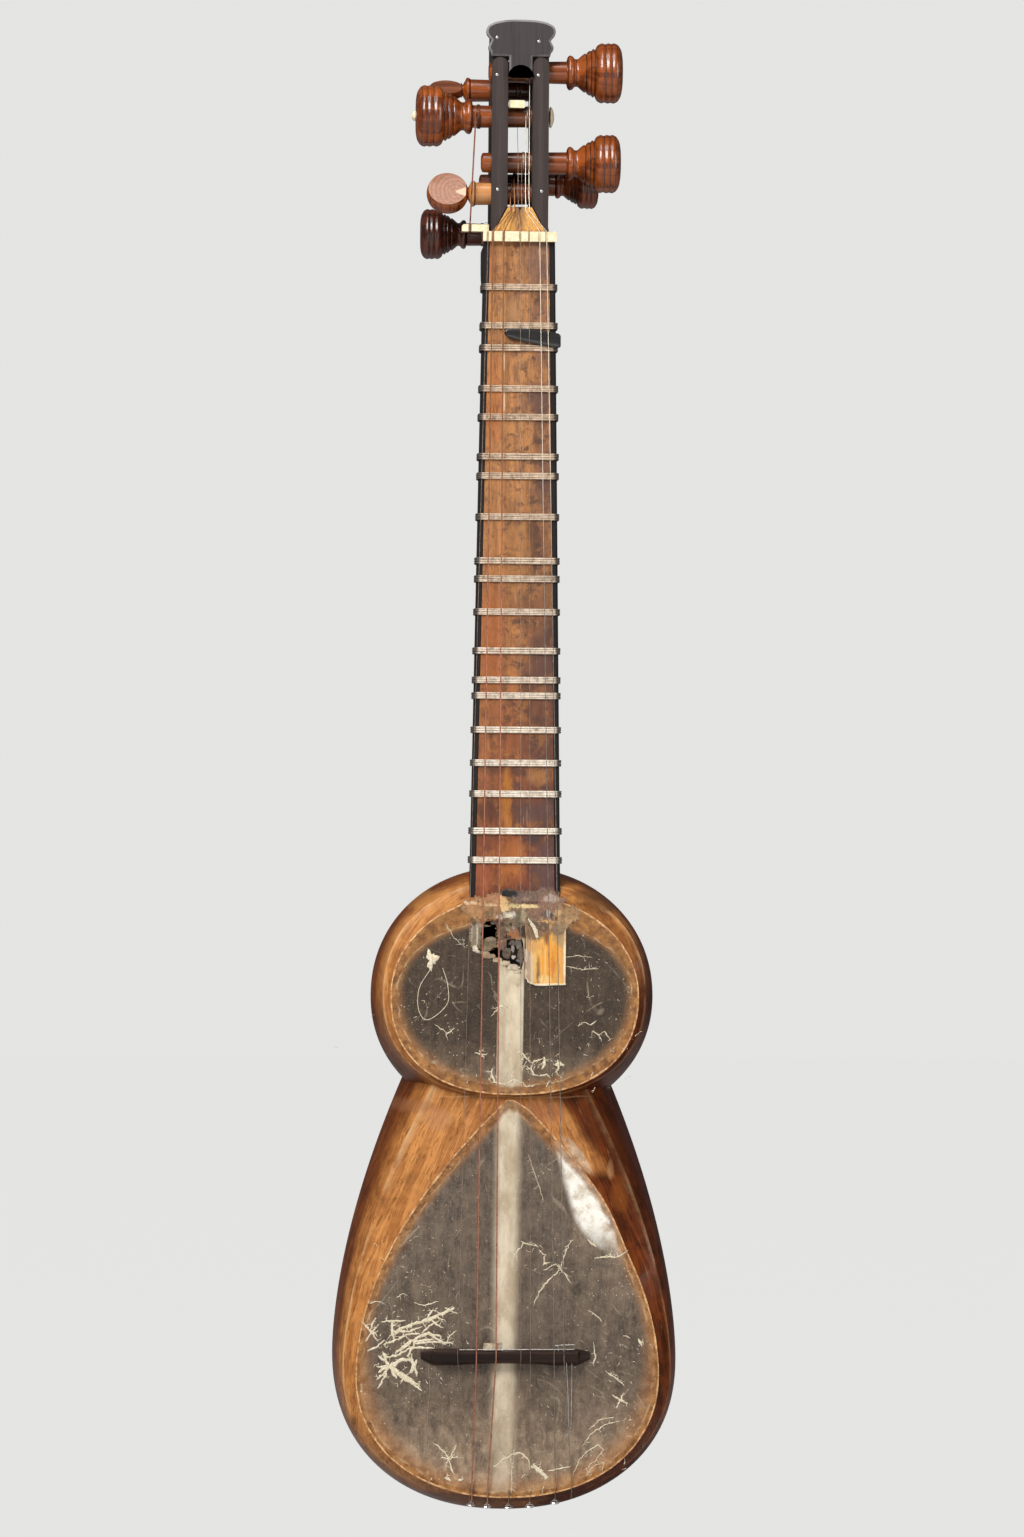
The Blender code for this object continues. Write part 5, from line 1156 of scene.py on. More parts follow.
DEBRIS_MARKS_WITH_SHADE = (
    (486, 909, 23, 11, (0.40, 0.195, 0.070), 1.0), (478, 909, 8, 8, (0.46, 0.215, 0.075), 0.6),
    (524, 912, 26, 13, (0.17, 0.100, 0.050), 1.0), (548, 906, 18, 14, (0.26, 0.130, 0.078), 1.0),
    (569, 914, 11, 9, (0.34, 0.180, 0.070), 1.0), (564, 922, 7, 8, (0.40, 0.225, 0.095), 0.8),
    (489, 914, 5, 4, (0.20, 0.110, 0.045), 0.7), (491, 905, 8, 1.5, (0.74, 0.480, 0.270), 0.9),
    (472, 903, 8, 1.6, (0.78, 0.500, 0.290), 0.9), (498, 898, 10, 5, (0.44, 0.200, 0.090), 1.0),
    # At the board's broken end: a black blot of painted shade and a blue-grey painted glint.
    (524, 897, 15, 6, (0.15, 0.090, 0.070), 1.0), (511, 893, 9, 4.0, (0.022, 0.019, 0.018), 1.0),
    (514, 893.5, 3.0, 2.2, (0.065, 0.090, 0.115), 0.9), (532, 902.5, 9, 1.5, (0.070, 0.020, 0.014), 0.9),
    (528, 899, 5, 1.5, (0.24, 0.150, 0.125), 0.8), (505, 903, 4.6, 8, (0.80, 0.500, 0.210), 1.0),
    (507, 909, 5, 3, (0.86, 0.580, 0.260), 0.9), (524, 906, 15, 2.0, (0.84, 0.620, 0.290), 1.0),
    (515, 905, 5, 2, (0.52, 0.420, 0.180), 0.7), (552, 898, 7, 4, (0.50, 0.370, 0.300), 0.8),
    (541, 893, 6, 5, (0.16, 0.090, 0.075), 0.5), (546, 914, 3.4, 4, (0.060, 0.042, 0.030), 0.8),
    (549.5, 913, 1.8, 3.6, (0.44, 0.430, 0.400), 0.9), (553, 916, 1.6, 3, (0.026, 0.024, 0.022), 0.9),
    (560, 913, 5, 3, (0.62, 0.400, 0.190), 0.7), (564, 918, 2, 6, (0.20, 0.110, 0.045), 0.6),
    (509, 912.3, 2.8, 1.5, (0.012, 0.008, 0.006), 1.0), (511, 915, 7, 3.2, (0.60, 0.540, 0.440), 0.95),
    (503, 917, 6, 2.2, (0.50, 0.410, 0.310), 0.8), (519, 920, 2.6, 8, (0.080, 0.080, 0.042), 0.85),
    (525, 915, 2.2, 7, (0.32, 0.290, 0.170), 0.7), (540, 925, 10, 5, (0.100, 0.050, 0.028), 0.8),
    (560, 928, 8, 5, (0.26, 0.170, 0.090), 0.8), (551.5, 927, 1.6, 7, (0.50, 0.230, 0.070), 0.8),
)
# In the hole the near-black blots are painted shade, and the grey and pale beads in the lower hole painted glints.
INNER_MARKS_WITH_SHADE_AND_GLINTS = (
    (503, 930, 5, 13, (0.100, 0.055, 0.032), 0.9), (497, 922, 5, 3, (0.10, 0.070, 0.055), 0.7),
    (510, 925, 2.2, 7, (0.44, 0.370, 0.230), 0.9), (508, 927, 2, 5, (0.26, 0.160, 0.070), 0.7),
    (521, 931, 8, 8, (0.30, 0.150, 0.082), 1.0), (516, 926, 3, 2.6, (0.56, 0.430, 0.340), 0.9),
    (516, 935, 8, 3.6, (0.34, 0.120, 0.032), 0.95), (510, 937.5, 2.4, 2, (0.070, 0.018, 0.006), 1.0),
    (523, 925, 4, 3, (0.22, 0.110, 0.070), 0.8), (490, 944, 9, 5, (0.150, 0.105, 0.052), 0.9),
    (482, 942, 3, 3.6, (0.030, 0.020, 0.012), 0.8), (492, 939, 6, 2, (0.26, 0.210, 0.150), 0.7),
    (503, 944, 5, 6, (0.150, 0.075, 0.048), 0.9), (485, 949, 7, 3, (0.24, 0.170, 0.100), 0.8),
    (526, 934, 2.5, 12, (0.12, 0.090, 0.045), 0.8), (487, 926, 4, 1.2, (0.26, 0.200, 0.150), 0.7),
    (514, 948, 1.8, 4.5, (0.24, 0.230, 0.210), 0.9), (520, 945, 2.2, 4.5, (0.17, 0.165, 0.150), 0.9),
    (516, 943, 6, 2.5, (0.055, 0.055, 0.050), 0.9), (515, 957, 2.0, 2.0, (0.50, 0.470, 0.440), 1.0),
    (520.5, 960.5, 2.0, 1.6, (0.24, 0.220, 0.240), 0.9), (508, 953, 4, 6, (0.045, 0.038, 0.034), 0.8),
    (522, 955, 3, 9, (0.060, 0.055, 0.050), 0.8),
)
STRIP_MARKS = (
    (477, 935, 6, 14, (0.210, 0.165, 0.105), 1.0), (475.5, 924, 2.0, 1.8, (0.016, 0.012, 0.009), 1.0),
    (478.5, 934, 1.0, 10, (0.56, 0.480, 0.360), 0.9), (473, 933, 1.2, 8, (0.36, 0.300, 0.210), 0.7),
    (476, 948.5, 2.6, 3.0, (0.72, 0.640, 0.500), 1.0), (479, 951.5, 2.4, 1.4, (0.66, 0.570, 0.430), 1.0),
    (481, 925, 4, 2, (0.30, 0.230, 0.160), 0.8),
    (490, 956, 7, 2.2, (0.34, 0.230, 0.130), 0.9), (499, 960, 5, 2.2, (0.48, 0.350, 0.210), 1.0),
    (506, 963, 5, 2.4, (0.66, 0.540, 0.360), 1.0), (514, 967, 6, 2.6, (0.74, 0.660, 0.420), 1.0),
    (519, 971, 3.5, 2, (0.68, 0.580, 0.370), 1.0), (508, 966, 1.4, 1.2, (0.16, 0.110, 0.070), 0.9),
    (486, 953, 5, 1.8, (0.42, 0.310, 0.200), 0.9),
)


def torn(name, marks, ragged):
    """Torn membrane: mottled, and gone where no mark covers it."""
    def paint(place):
        fine = place.noise(0.9, 5.0, 0.75)
        base = fine.ramp(0.3, 0.7).blend((0.12, 0.070, 0.035), (0.34, 0.210, 0.105))
        colour, cover = blots(place, base, marks, ragged, 0.65, (1.0, 1.0, 0.8), 4.6)
        dirt = place.noise(0.45, 5.0, 0.75)
        colour = (dirt.ramp(0.50, 0.64) * 0.6).blend(colour, (0.11, 0.058, 0.026))
        colour = (dirt.ramp(0.36, 0.46, 1.0, 0.0) * 0.4).blend(colour, (0.50, 0.300, 0.130))
        light = place.scaled((1.0, 1.0, 0.5)).noise(1.3, 4.0, 0.75).ramp(0.58, 0.68)
        colour = (light * 0.45).blend(colour, (0.66, 0.530, 0.350))
        return {"Base Color": colour, "Roughness": (0.34 + fine * 0.3).clamp(), "Alpha": cover.ramp(0.35, 0.55),
                "height": (0.6, 0.4, fine)}
    return finish(name, paint, Coat_Weight=0.15, Coat_Roughness=0.2)


DEBRIS = torn("torn_membrane", DEBRIS_MARKS_WITH_SHADE, 0.55)
INNER = torn("inner_remnants", INNER_MARKS_WITH_SHADE_AND_GLINTS, 0.8)
TORN_EDGE = torn("torn_edge_membrane", STRIP_MARKS, 0.8)
PATCH_PLATE = finish("patch_plate_look", paint_patch, Coat_Weight=0.2, Coat_Roughness=0.2, Specular_IOR_Level=0.3)
EDGED_EBONY = wood("edged_ebony", (0.054, 0.037, 0.033), (0.025, 0.018, 0.016), rough=0.48, coat=0.06, wear=0.2,
                   grain=0.45, worn=(0.054, 0.041, 0.037), marks=rubbed_and_lit_edges)
BLACK_EDGE = wood("black_edge", (0.013, 0.009, 0.008), (0.006, 0.004, 0.004), rough=0.62, wear=0.2,
                  grain=0.45, worn=(0.024, 0.016, 0.014))
LOOKS = {
    "fingerboard": BOARD_WOOD, "neck": NECK_WOOD, "neck_edge_left": BLACK_EDGE, "neck_edge_right": BLACK_EDGE,
    "pegbox": EBONY, "front_strip_left": EDGED_EBONY, "front_strip_right": EDGED_EBONY,
    "nut": BONE, "side_nut": BONE, "slot_guide": BONE, "peg_l1_button": BONE, "peg_l1_tip": BONE,
    "neck_stick": STICK_WOOD, "skin_upper": UPPER_SKIN, "skin_lower": LOWER_SKIN, "patch_plate": PATCH_PLATE,
    "bridge": BRIDGE_WOOD, "string_side": OLD_COPPER,
}
for number in range(1, 6):
    LOOKS[f"tail_eye_{number}"] = BRIGHT
for node, look in LOOKS.items():
    mesh = nodes[node].data
    mesh.materials.clear()
    mesh.materials.append(look)
    mesh.shade_smooth()
    mesh.set_sharp_from_angle(angle=math.radians(35))
print("finishes given:", len(LOOKS))

# %% [markdown]
# ## Head plate and plectrum
#
# The plate is sawn to two lobes a side and its front edge is filed to a slope, which is painted light: rubbed wear
# with a painted highlight. The plectrum is a tongue of buffalo horn, thin and round at its tip and thick where the
# fingers hold it.

# %%
def arc(x, z, radius, start, end, steps=9):
    angles = [math.radians(start + (end - start) * k / steps) for k in range(steps + 1)]
    return [(x + radius * math.cos(a), z + radius * math.sin(a)) for a in angles]


def inset(loop, distance):
    """The same loop, moved inwards."""
    moved = []
    for i, (x, z) in enumerate(loop):
        (ax, az), (bx, bz) = loop[i - 1], loop[(i + 1) % len(loop)]
        length = math.hypot(bx - ax, bz - az)
        moved.append((x + (bz - az) / length * distance, z - (bx - ax) / length * distance))
    return moved


half = [(0.0, 124.3), (4.5, 124.2), (9.0, 123.9), (12.0, 123.4), (15.0, 122.7)]
half += arc(15.4, 117.5, 4.5, 62, -42) + [(16.9, 112.4)] + arc(15.7, 108.3, 3.0, 38, -55)
half += [(16.7, 103.3), (6.6, 103.3), (6.6, 90.7)] + arc(0.0, 90.7, 6.3, 4, 86)
head_outline = half + [(-x, z) for x, z in reversed(half[1:])]
rings = [[(x, y, z) for x, z in loop]
         for y, loop in ((3.0, head_outline), (-0.5, head_outline), (-1.5, inset(head_outline, 1.3)))]
head_plate = mesh_object("head_plate", *skinned(rings), EDGED_EBONY, smooth=20)
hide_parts("head_cap")
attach(head_plate, "body")

# Each row: place along, height of the middle, half height and half thickness.
TONGUE = ((-8.4, -55.1, 0.4, 0.15), (-8.0, -55.1, 1.3, 0.30), (-6.8, -55.1, 2.1, 0.42), (-3.8, -55.4, 2.75, 0.55),
          (2.3, -56.2, 3.8, 0.62), (11.5, -57.6, 4.25, 0.65), (20.0, -58.9, 4.35, 0.65), (22.6, -59.3, 4.1, 0.62),
          (23.6, -59.5, 3.5, 0.5), (23.9, -59.5, 2.6, 0.3))
TONGUE_Y = -2.15
rings = []
for x, z, up, thick in TONGUE:
    rings.append([(x, TONGUE_Y + thick * math.copysign(abs(math.cos(a)) ** 0.8, math.cos(a)),
                   z + up * math.copysign(abs(math.sin(a)) ** 0.8, math.sin(a))) for a in circle(20)])
tongue = mesh_object("plectrum_tongue", *skinned(rings), HORN, smooth=50)
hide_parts("plectrum")
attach(tongue, "plectrum")
print("head plate and plectrum made")

# %% [markdown]
# ## Nails and windings
#
# Small steel nails hold the facing strips and the head plate. Each string is wound a few turns round its peg,
# beside itself, before it runs down to the nut.

# %%
NAILS = {"cap_left": (499.5, 38, -1.5), "cap_right": (541.5, 41.5, -1.5), "top_left": (499.5, 75, 0.0),
         "top_right": (541.0, 75, 0.0), "low_left": (500.0, 189.5, 0.0), "low_right": (544.0, 191, 0.0)}
for name, (px, row, y) in NAILS.items():
    x, z = photo_x(px, row) - 0.6, photo_z(row)
    rings = [[(x + radius * math.cos(a), y + depth, z + radius * math.sin(a)) for a in circle(14)]
             for depth, radius in ((0.6, 0.80), (0.0, 0.95), (-0.22, 0.8), (-0.34, 0.35))]
    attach(mesh_object("nail_" + name, *skinned(rings), BRIGHT), "body")


def winding(name, peg, x, turns, radius, look):
    """A string end wound round a peg's shaft."""
    side, z, y = PEGS[peg][:3]
    core = shaft_radius(side, x) + radius + 0.05
    path = []
    for k in range(int(turns * 20) + 1):
        a = 2 * math.pi * k / 20
        path.append((x + (k / 20) * radius * 2.05, y - core * math.cos(a), z + core * math.sin(a)))
    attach(mesh_object(name, *round_wire(path, radius, 6), look, smooth=60), peg)


winding("winding_l3", "peg_l3", -4.6, 1, COPPER_WIRE, OLD_COPPER)
winding("winding_r3", "peg_r3", -2.2, 3, COPPER_WIRE, OLD_COPPER)
winding("winding_l2", "peg_l2", -0.3, 5, 0.2, STEEL)
winding("winding_r2", "peg_r2", 1.8, 2.5, 0.2, STEEL)
winding("winding_l1", "peg_l1", 4.0, 2, 0.2, STEEL)
winding("winding_r1", "peg_r1", 3.2, 4, 0.2, STEEL)
winding("winding_side", "peg_l1", -24.5, 3, 0.30, OLD_COPPER)
winding("winding_l4", "peg_l4", -20.6, 4, 0.2, STEEL)
print("nails and windings made")

# %% [markdown]
# ## On the bridge
#
# The strings cut into a bridge, so its crest carries a thin wire, and broken places were mended with what was at
# hand: two staples, a chip of tan wood, and a loose end of steel wire that lies on the skin like a hairpin.

# %%
def on_photo(points, y):
    """Places in the photograph as points in space, at one depth or at a depth for each."""
    depths = y if isinstance(y, (list, tuple)) else [y] * len(points)
    return [(photo_x(px, row), depth, photo_z(row)) for (px, row), depth in zip(points, depths)]


def plate(name, corners, y, thickness, look, body="body", jitter=0.0, seed=1):
    """A thin piece with the given outline in the photograph, its edge a little ragged."""
    draw = random.Random(seed)
    loop = []
    for i, (px, row) in enumerate(corners):
        following = corners[(i + 1) % len(corners)]
        for share in (0.0, 0.33, 0.67) if jitter else (0.0,):
            loop.append((px + (following[0] - px) * share + draw.uniform(-jitter, jitter),
                         row + (following[1] - row) * share + draw.uniform(-jitter, jitter)))
    front, back = on_photo(loop, y), on_photo(loop, y + thickness)
    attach(mesh_object(name, *skinned([front, back]), look, smooth=30), body)


CREST_LEFT, CREST_RIGHT, CREST_ROW = 460, 575, 1348.0
crest = on_photo(((CREST_LEFT, CREST_ROW), (CREST_RIGHT, CREST_ROW - 0.6)), -8.85)
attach(mesh_object("crest_wire", *round_wire(crest, 0.28), BRIGHT, smooth=60), "bridge")
CHIP_CORNERS = ((484, 1349), (484.5, 1342), (502, 1341.5), (502.5, 1349))
plate("tan_chip", CHIP_CORNERS, -8.2, 3.2, PARCHMENT, "bridge", 0.3, 2)
CHIP_STAPLE = ((497, 1343), (497, 1341.2), (503, 1341.2), (503.2, 1349))
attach(mesh_object("chip_staple", *round_wire(on_photo(CHIP_STAPLE, -8.7), 0.22), BRIGHT, smooth=60), "bridge")
STAPLE = ((559, 1349), (558.6, 1344), (555, 1343.6), (575, 1342.6), (564.5, 1343.6), (564, 1349))
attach(mesh_object("right_staple", *round_wire(on_photo(STAPLE, -8.8), 0.24), BRIGHT, smooth=60), "bridge")
HAIRPIN = ((566, 1345), (567.5, 1362), (569.5, 1400), (570.3, 1424), (571.6, 1428), (572.8, 1424), (573, 1390), (573, 1362))
HAIRPIN_DEPTHS = (-8.9, -4.5, -0.6, 0.7, 0.8, 0.7, -0.2, -3.5)
hairpin = curve_through(on_photo(HAIRPIN, HAIRPIN_DEPTHS), 5)
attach(mesh_object("hairpin", *round_wire(hairpin, 0.2, 6), BRIGHT, smooth=60), "bridge")
print("bridge dressed")

# %% [markdown]
# ## The broken patch
#
# Over the neck's end the upper skin has torn. What is left, from the top down: the fingerboard's broken end, a
# scrap of old glue, shards and tufts of membrane at the edge of the hole, and a brown remnant that hangs in it. A black
# plate at the board's broken end and the near-black blots in the hole are painted shade, and the grey beads in the
# lower hole painted glints.

# %%
def sheet_over(name, box, depth, look, step=2.0):
    """A crumpled leaf of membrane over a box in the photograph. depth gives its Y at a place in the photograph."""
    left, top, right, bottom = box
    across, down = int((right - left) / step), int((bottom - top) / step)
    verts, faces = [], []
    for j in range(down + 1):
        for i in range(across + 1):
            px, row = left + (right - left) * i / across, top + (bottom - top) * j / down
            crumple = 0.16 * math.sin(px * 0.9 + row * 0.5) * math.sin(row * 0.7 - px * 0.35)
            verts.append((photo_x(px, row), depth(px, row) + crumple, photo_z(row)))
    for j in range(down):
        for i in range(across):
            a = j * (across + 1) + i
            faces.append((a, a + across + 1, a + across + 2, a + 1))
    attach(mesh_object(name, verts, faces, look, smooth=60), "body")


PLATE_LEFT, PLATE_TOP = 527, 923


def over_plate(px, row):
    """Just in front of the skin, and of the plate where that lies."""
    share = min(1.0, max(0.0, (px - PLATE_LEFT + 4) / 4)) * min(1.0, max(0.0, (row - PLATE_TOP + 5) / 5))
    return -1.3 - 1.1 * share


sheet_over("torn_membrane_sheet", (462, 886, 604, 936), over_plate, DEBRIS)
sheet_over("inner_remnant_sheet", (479, 917, 530, 966), lambda px, row: 0.75, INNER)
sheet_over("torn_edge_sheet", (467, 919, 525, 976), lambda px, row: -1.2, TORN_EDGE)
SHARDS = {
    # The first is a black plate: painted shade in the hollow behind the board's broken end.
    "board_break_shade": (((503, 892), (508, 890.5), (516, 891), (518, 894.5), (509, 896), (503, 895.5)), -1.9, 0.5, HOLLOW_SHADE, 0.6),
    "tuft_left": (((504, 917), (508, 914), (510, 913), (514, 916.5), (511, 917.5)), -1.9, 0.4, FLAKE, 0.8),
    "curl": (((529, 917), (531, 920), (535.5, 924), (538.5, 930), (539.6, 937), (537.6, 938), (535, 932), (532, 925)),
             -2.75, 0.4, FLAKE, 0.6),
    "left_strip_end": (((474.5, 946.5), (477.5, 946), (479, 949.5), (479.5, 951.5), (477, 951.6)), -1.5, 0.3, FLAKE, 0.5),
    "fray": (((526, 949), (529.5, 948), (529, 955), (527.6, 962), (526.4, 962)), -1.5, 0.3, PARCHMENT, 0.9),
    "edge_flake": (((508, 963), (513, 964.5), (517, 963.5), (520, 969), (522.5, 971.6), (518, 970), (511, 968)), -1.5,
                   0.3, PARCHMENT, 0.7),
    "plate_low_edge": (((526, 975), (530, 980.5), (537, 984.4), (567, 983.2), (567, 984.4), (537, 985.6), (529, 982)),
                       -2.2, 0.5, FLAKE, 0.4),
}
for order, (name, (corners, y, thickness, look, jitter)) in enumerate(SHARDS.items()):
    plate(name, corners, y, thickness, look, "body", jitter, 40 + order)
print("patch: three leaves and", len(SHARDS), "shards")

# %% [markdown]
# ## Cracks, flakes and threads
#
# The skins have aged. Where the membrane has lifted and split, its edges have curled into pale branching lines,
# densest at the left of the bridge. The large ones follow the photograph, point by point, and grow small side
# branches at random, with a fixed seed. A thread loop and a dab of old glue lie on the upper skin.

# %%
def strip(route, widths, face, height):
    """A thin strip lying on a skin: flat underneath, raised along its middle."""
    rings = []
    for i, (x, z) in enumerate(route):
        ahead, behind = route[min(i + 1, len(route) - 1)], route[max(i - 1, 0)]
        along = Vector((ahead[0] - behind[0], 0.0, ahead[1] - behind[1])).normalized()
        side = Vector((-along.z, 0.0, along.x))
        w = widths[i] / 2
        middle = Vector((x, face, z))
        rise = Vector((0.0, -height * min(1.0, w * 2 + 0.2), 0.0))
        rings.append([middle - side * w, middle + rise, middle + side * w, middle + Vector((0.0, 0.05, 0.0))])
    return skinned(rings)


def grow(draw, x, z, heading, length, width, strips, face, depth=0):
    """A short random walk that may fork. Each branch becomes one strip."""
    route, widths = [(x, z)], [width]
    steps = max(2, int(length / 0.9))
    for k in range(steps):
        heading += draw.gauss(0.0, 0.38)
        x += 0.9 * math.cos(heading)
        z += 0.9 * math.sin(heading)
        route.append((x, z))
        widths.append(width * (1 - (k + 1) / steps) * draw.uniform(0.6, 1.2) + 0.05)
        if depth < 2 and draw.random() < 0.14:
            turn = heading + draw.choice((-1, 1)) * draw.uniform(0.6, 1.2)
            grow(draw, x, z, turn, length * draw.uniform(0.3, 0.6), width * 0.7, strips, face, depth + 1)
    strips.append(strip(route, widths, face, 0.25))


def stroke(draw, corners, width, strips, face, twigs=0.36):
    """A crack through places in the photograph, thick in its middle, with small twigs."""
    route, widths = [], []
    count = len(corners) - 1
    for i in range(count):
        (px, row), (px2, row2) = corners[i], corners[i + 1]
        steps = max(1, int(math.hypot(px2 - px, row2 - row) / 2.2))
        for k in range(steps):
            share = k / steps
            across, down = px + (px2 - px) * share, row + (row2 - row) * share
            route.append((photo_x(across, down) + draw.gauss(0.0, 0.22), photo_z(down) + draw.gauss(0.0, 0.22)))
            along = (i + share) / count
            widths.append(width * (0.35 + 0.65 * math.sin(math.pi * (0.12 + 0.76 * along))) * draw.uniform(0.6, 1.3))
            if draw.random() < twigs:
                grow(draw, *route[-1], draw.uniform(0.0, 2 * math.pi), draw.uniform(1.5, 5.0), width * 0.55, strips,
                     face, 1)
    px, row = corners[-1]
    route.append((photo_x(px, row), photo_z(row)))
    widths.append(width * 0.3)
    strips.append(strip(route, widths, face, 0.28))


# Each row: width in millimetres, then places in the photograph.
LOWER_CRACKS = {
    "teeth_a": (1.1, (364, 1322), (371, 1330), (378, 1336)), "teeth_b": (0.9, (378, 1318), (374, 1324), (372, 1331)),
    "fan_a": (1.3, (404, 1349), (418, 1338), (430, 1334), (443, 1337)), "fan_b": (1.4, (409, 1357), (417, 1342), (435, 1340)),
    "fan_c": (1.2, (415, 1344), (440, 1342), (455, 1344)), "top_twig": (1.0, (427, 1322), (431, 1315), (435, 1309)),
    "top_twig_b": (0.9, (439, 1316), (447, 1322)), "ray_a": (1.5, (391, 1366), (380, 1356)),
    "ray_b": (1.2, (391, 1366), (378, 1367)), "ray_c": (1.2, (391, 1366), (386, 1377), (379, 1389)),
    "ray_d": (1.7, (391, 1366), (402, 1361), (415, 1360)), "ray_e": (2.0, (391, 1366), (404, 1377), (423, 1391)),
    "ray_f": (1.3, (391, 1366), (398, 1379)), "ray_g": (1.6, (413, 1358), (416, 1367), (418, 1377)),
    "far_a": (0.7, (372, 1304), (378, 1302), (384, 1303)), "far_b": (0.7, (416, 1304), (427, 1306), (439, 1302)),
    "far_c": (0.8, (447, 1308), (453, 1311), (459, 1314)), "far_d": (0.5, (398, 1298), (404, 1294), (409, 1296)),
    "low_star_a": (1.1, (614, 1395), (622, 1400), (630, 1404)), "low_star_b": (0.9, (626, 1393), (622, 1400), (618, 1408)),
    "low_arc": (0.6, (584, 1446), (594, 1433), (606, 1425), (622, 1421)),
    "low_arc_b": (0.5, (590, 1430), (602, 1420), (616, 1417)), "right_mark": (0.8, (608, 1372), (618, 1378), (626, 1386)),
    "right_mark_b": (0.6, (590, 1310), (598, 1315), (604, 1322)), "edge_chip": (1.2, (640, 1338), (644, 1346)),
    "tail_fan_a": (0.8, (436, 1444), (446, 1452), (452, 1460)), "tail_fan_b": (0.8, (458, 1446), (452, 1456), (447, 1466)),
    "tail_fan_c": (0.7, (443, 1458), (452, 1460), (460, 1456)), "tail_curl": (1.6, (532, 1466), (538, 1469), (544, 1474),
                                                                         (549, 1479)),
    "comb_left": (1.5, (393, 1321), (394, 1330), (395, 1340)), "comb_top": (1.2, (383, 1322), (395, 1322), (407, 1321)),
    "ridge": (2.0, (395, 1335), (405, 1328), (420, 1323), (432, 1319), (445, 1313), (456, 1308)),
    "ridge_branch": (1.1, (432, 1319), (438, 1325), (445, 1328)),
    "second": (1.7, (399, 1352), (410, 1343), (420, 1337), (430, 1333), (447, 1345)),
    "cross_a": (0.9, (366, 1325), (373, 1333), (380, 1342)), "cross_b": (0.9, (380, 1325), (373, 1333), (367, 1342)),
    "star_left": (1.6, (390, 1368), (384, 1370), (380, 1373)), "star_down": (1.2, (390, 1368), (384, 1375), (378, 1380)),
    "star_up": (1.5, (390, 1368), (387, 1360), (384, 1352)), "star_right": (1.9, (390, 1368), (396, 1365), (400, 1361)),
    "star_low": (1.3, (390, 1368), (398, 1373), (405, 1377), (420, 1385)), "blob": (2.3, (413, 1373), (415, 1367), (418, 1360)),
    "weave_a": (1.3, (385, 1345), (396, 1341), (408, 1335), (421, 1334)), "weave_b": (1.1, (398, 1331), (411, 1332), (424, 1327)),
    "weave_c": (1.2, (408, 1350), (421, 1348), (436, 1349)), "weave_d": (1.0, (369, 1352), (379, 1347), (386, 1340)),
    "weave_e": (1.4, (386, 1358), (399, 1356), (409, 1350)), "weave_f": (1.6, (402, 1372), (411, 1379), (419, 1388)),
    "weave_g": (1.0, (424, 1333), (431, 1326), (441, 1321)), "weave_h": (0.8, (448, 1343), (452, 1336), (458, 1331)),
    "right_down": (0.8, (562, 1269), (555, 1276), (548, 1282), (541, 1292), (536, 1303)),
    "right_up": (0.8, (562, 1269), (565, 1258), (570, 1245), (575, 1240)), "right_low": (0.7, (562, 1269), (568, 1276), (573, 1283)),
    "right_left": (0.7, (562, 1269), (557, 1264), (545, 1270)),
    "figure_a": (0.9, (515, 1257), (519, 1252), (525, 1243), (540, 1247)),
    "figure_b": (0.8, (540, 1250), (547, 1255), (545, 1265), (552, 1262)),
    "shoulder_line": (0.8, (596, 1258), (608, 1257), (620, 1257), (630, 1250)), "white_crack": (1.0, (590, 1240), (598, 1247)),
    "dash_right": (0.8, (625, 1336), (632, 1338)), "edge_right": (0.7, (595, 1343), (597, 1355), (595, 1365)),
    "upper_scratch": (0.4, (530, 1155), (538, 1178), (545, 1200)), "tail_left": (0.9, (450, 1458), (452, 1468), (456, 1475)),
    "tail_blob_a": (1.8, (448, 1479), (452, 1481)), "tail_blob_b": (1.6, (460, 1481), (465, 1479)),
    "arch": (0.9, (495, 1467), (505, 1460), (515, 1454), (522, 1453), (530, 1460), (531, 1470)),
    "arch_leg": (0.6, (513, 1458), (513, 1478), (513, 1494)), "tail_thick": (1.5, (535, 1464), (542, 1471), (550, 1478)),
    "tail_line": (0.9, (550, 1471), (562, 1469), (573, 1466)),
    "loop_a": (0.5, (575, 1475), (580, 1462), (590, 1450), (600, 1445), (605, 1450), (598, 1460), (586, 1470)),
    "loop_b": (0.4, (588, 1475), (596, 1466), (606, 1462), (604, 1472)),
}
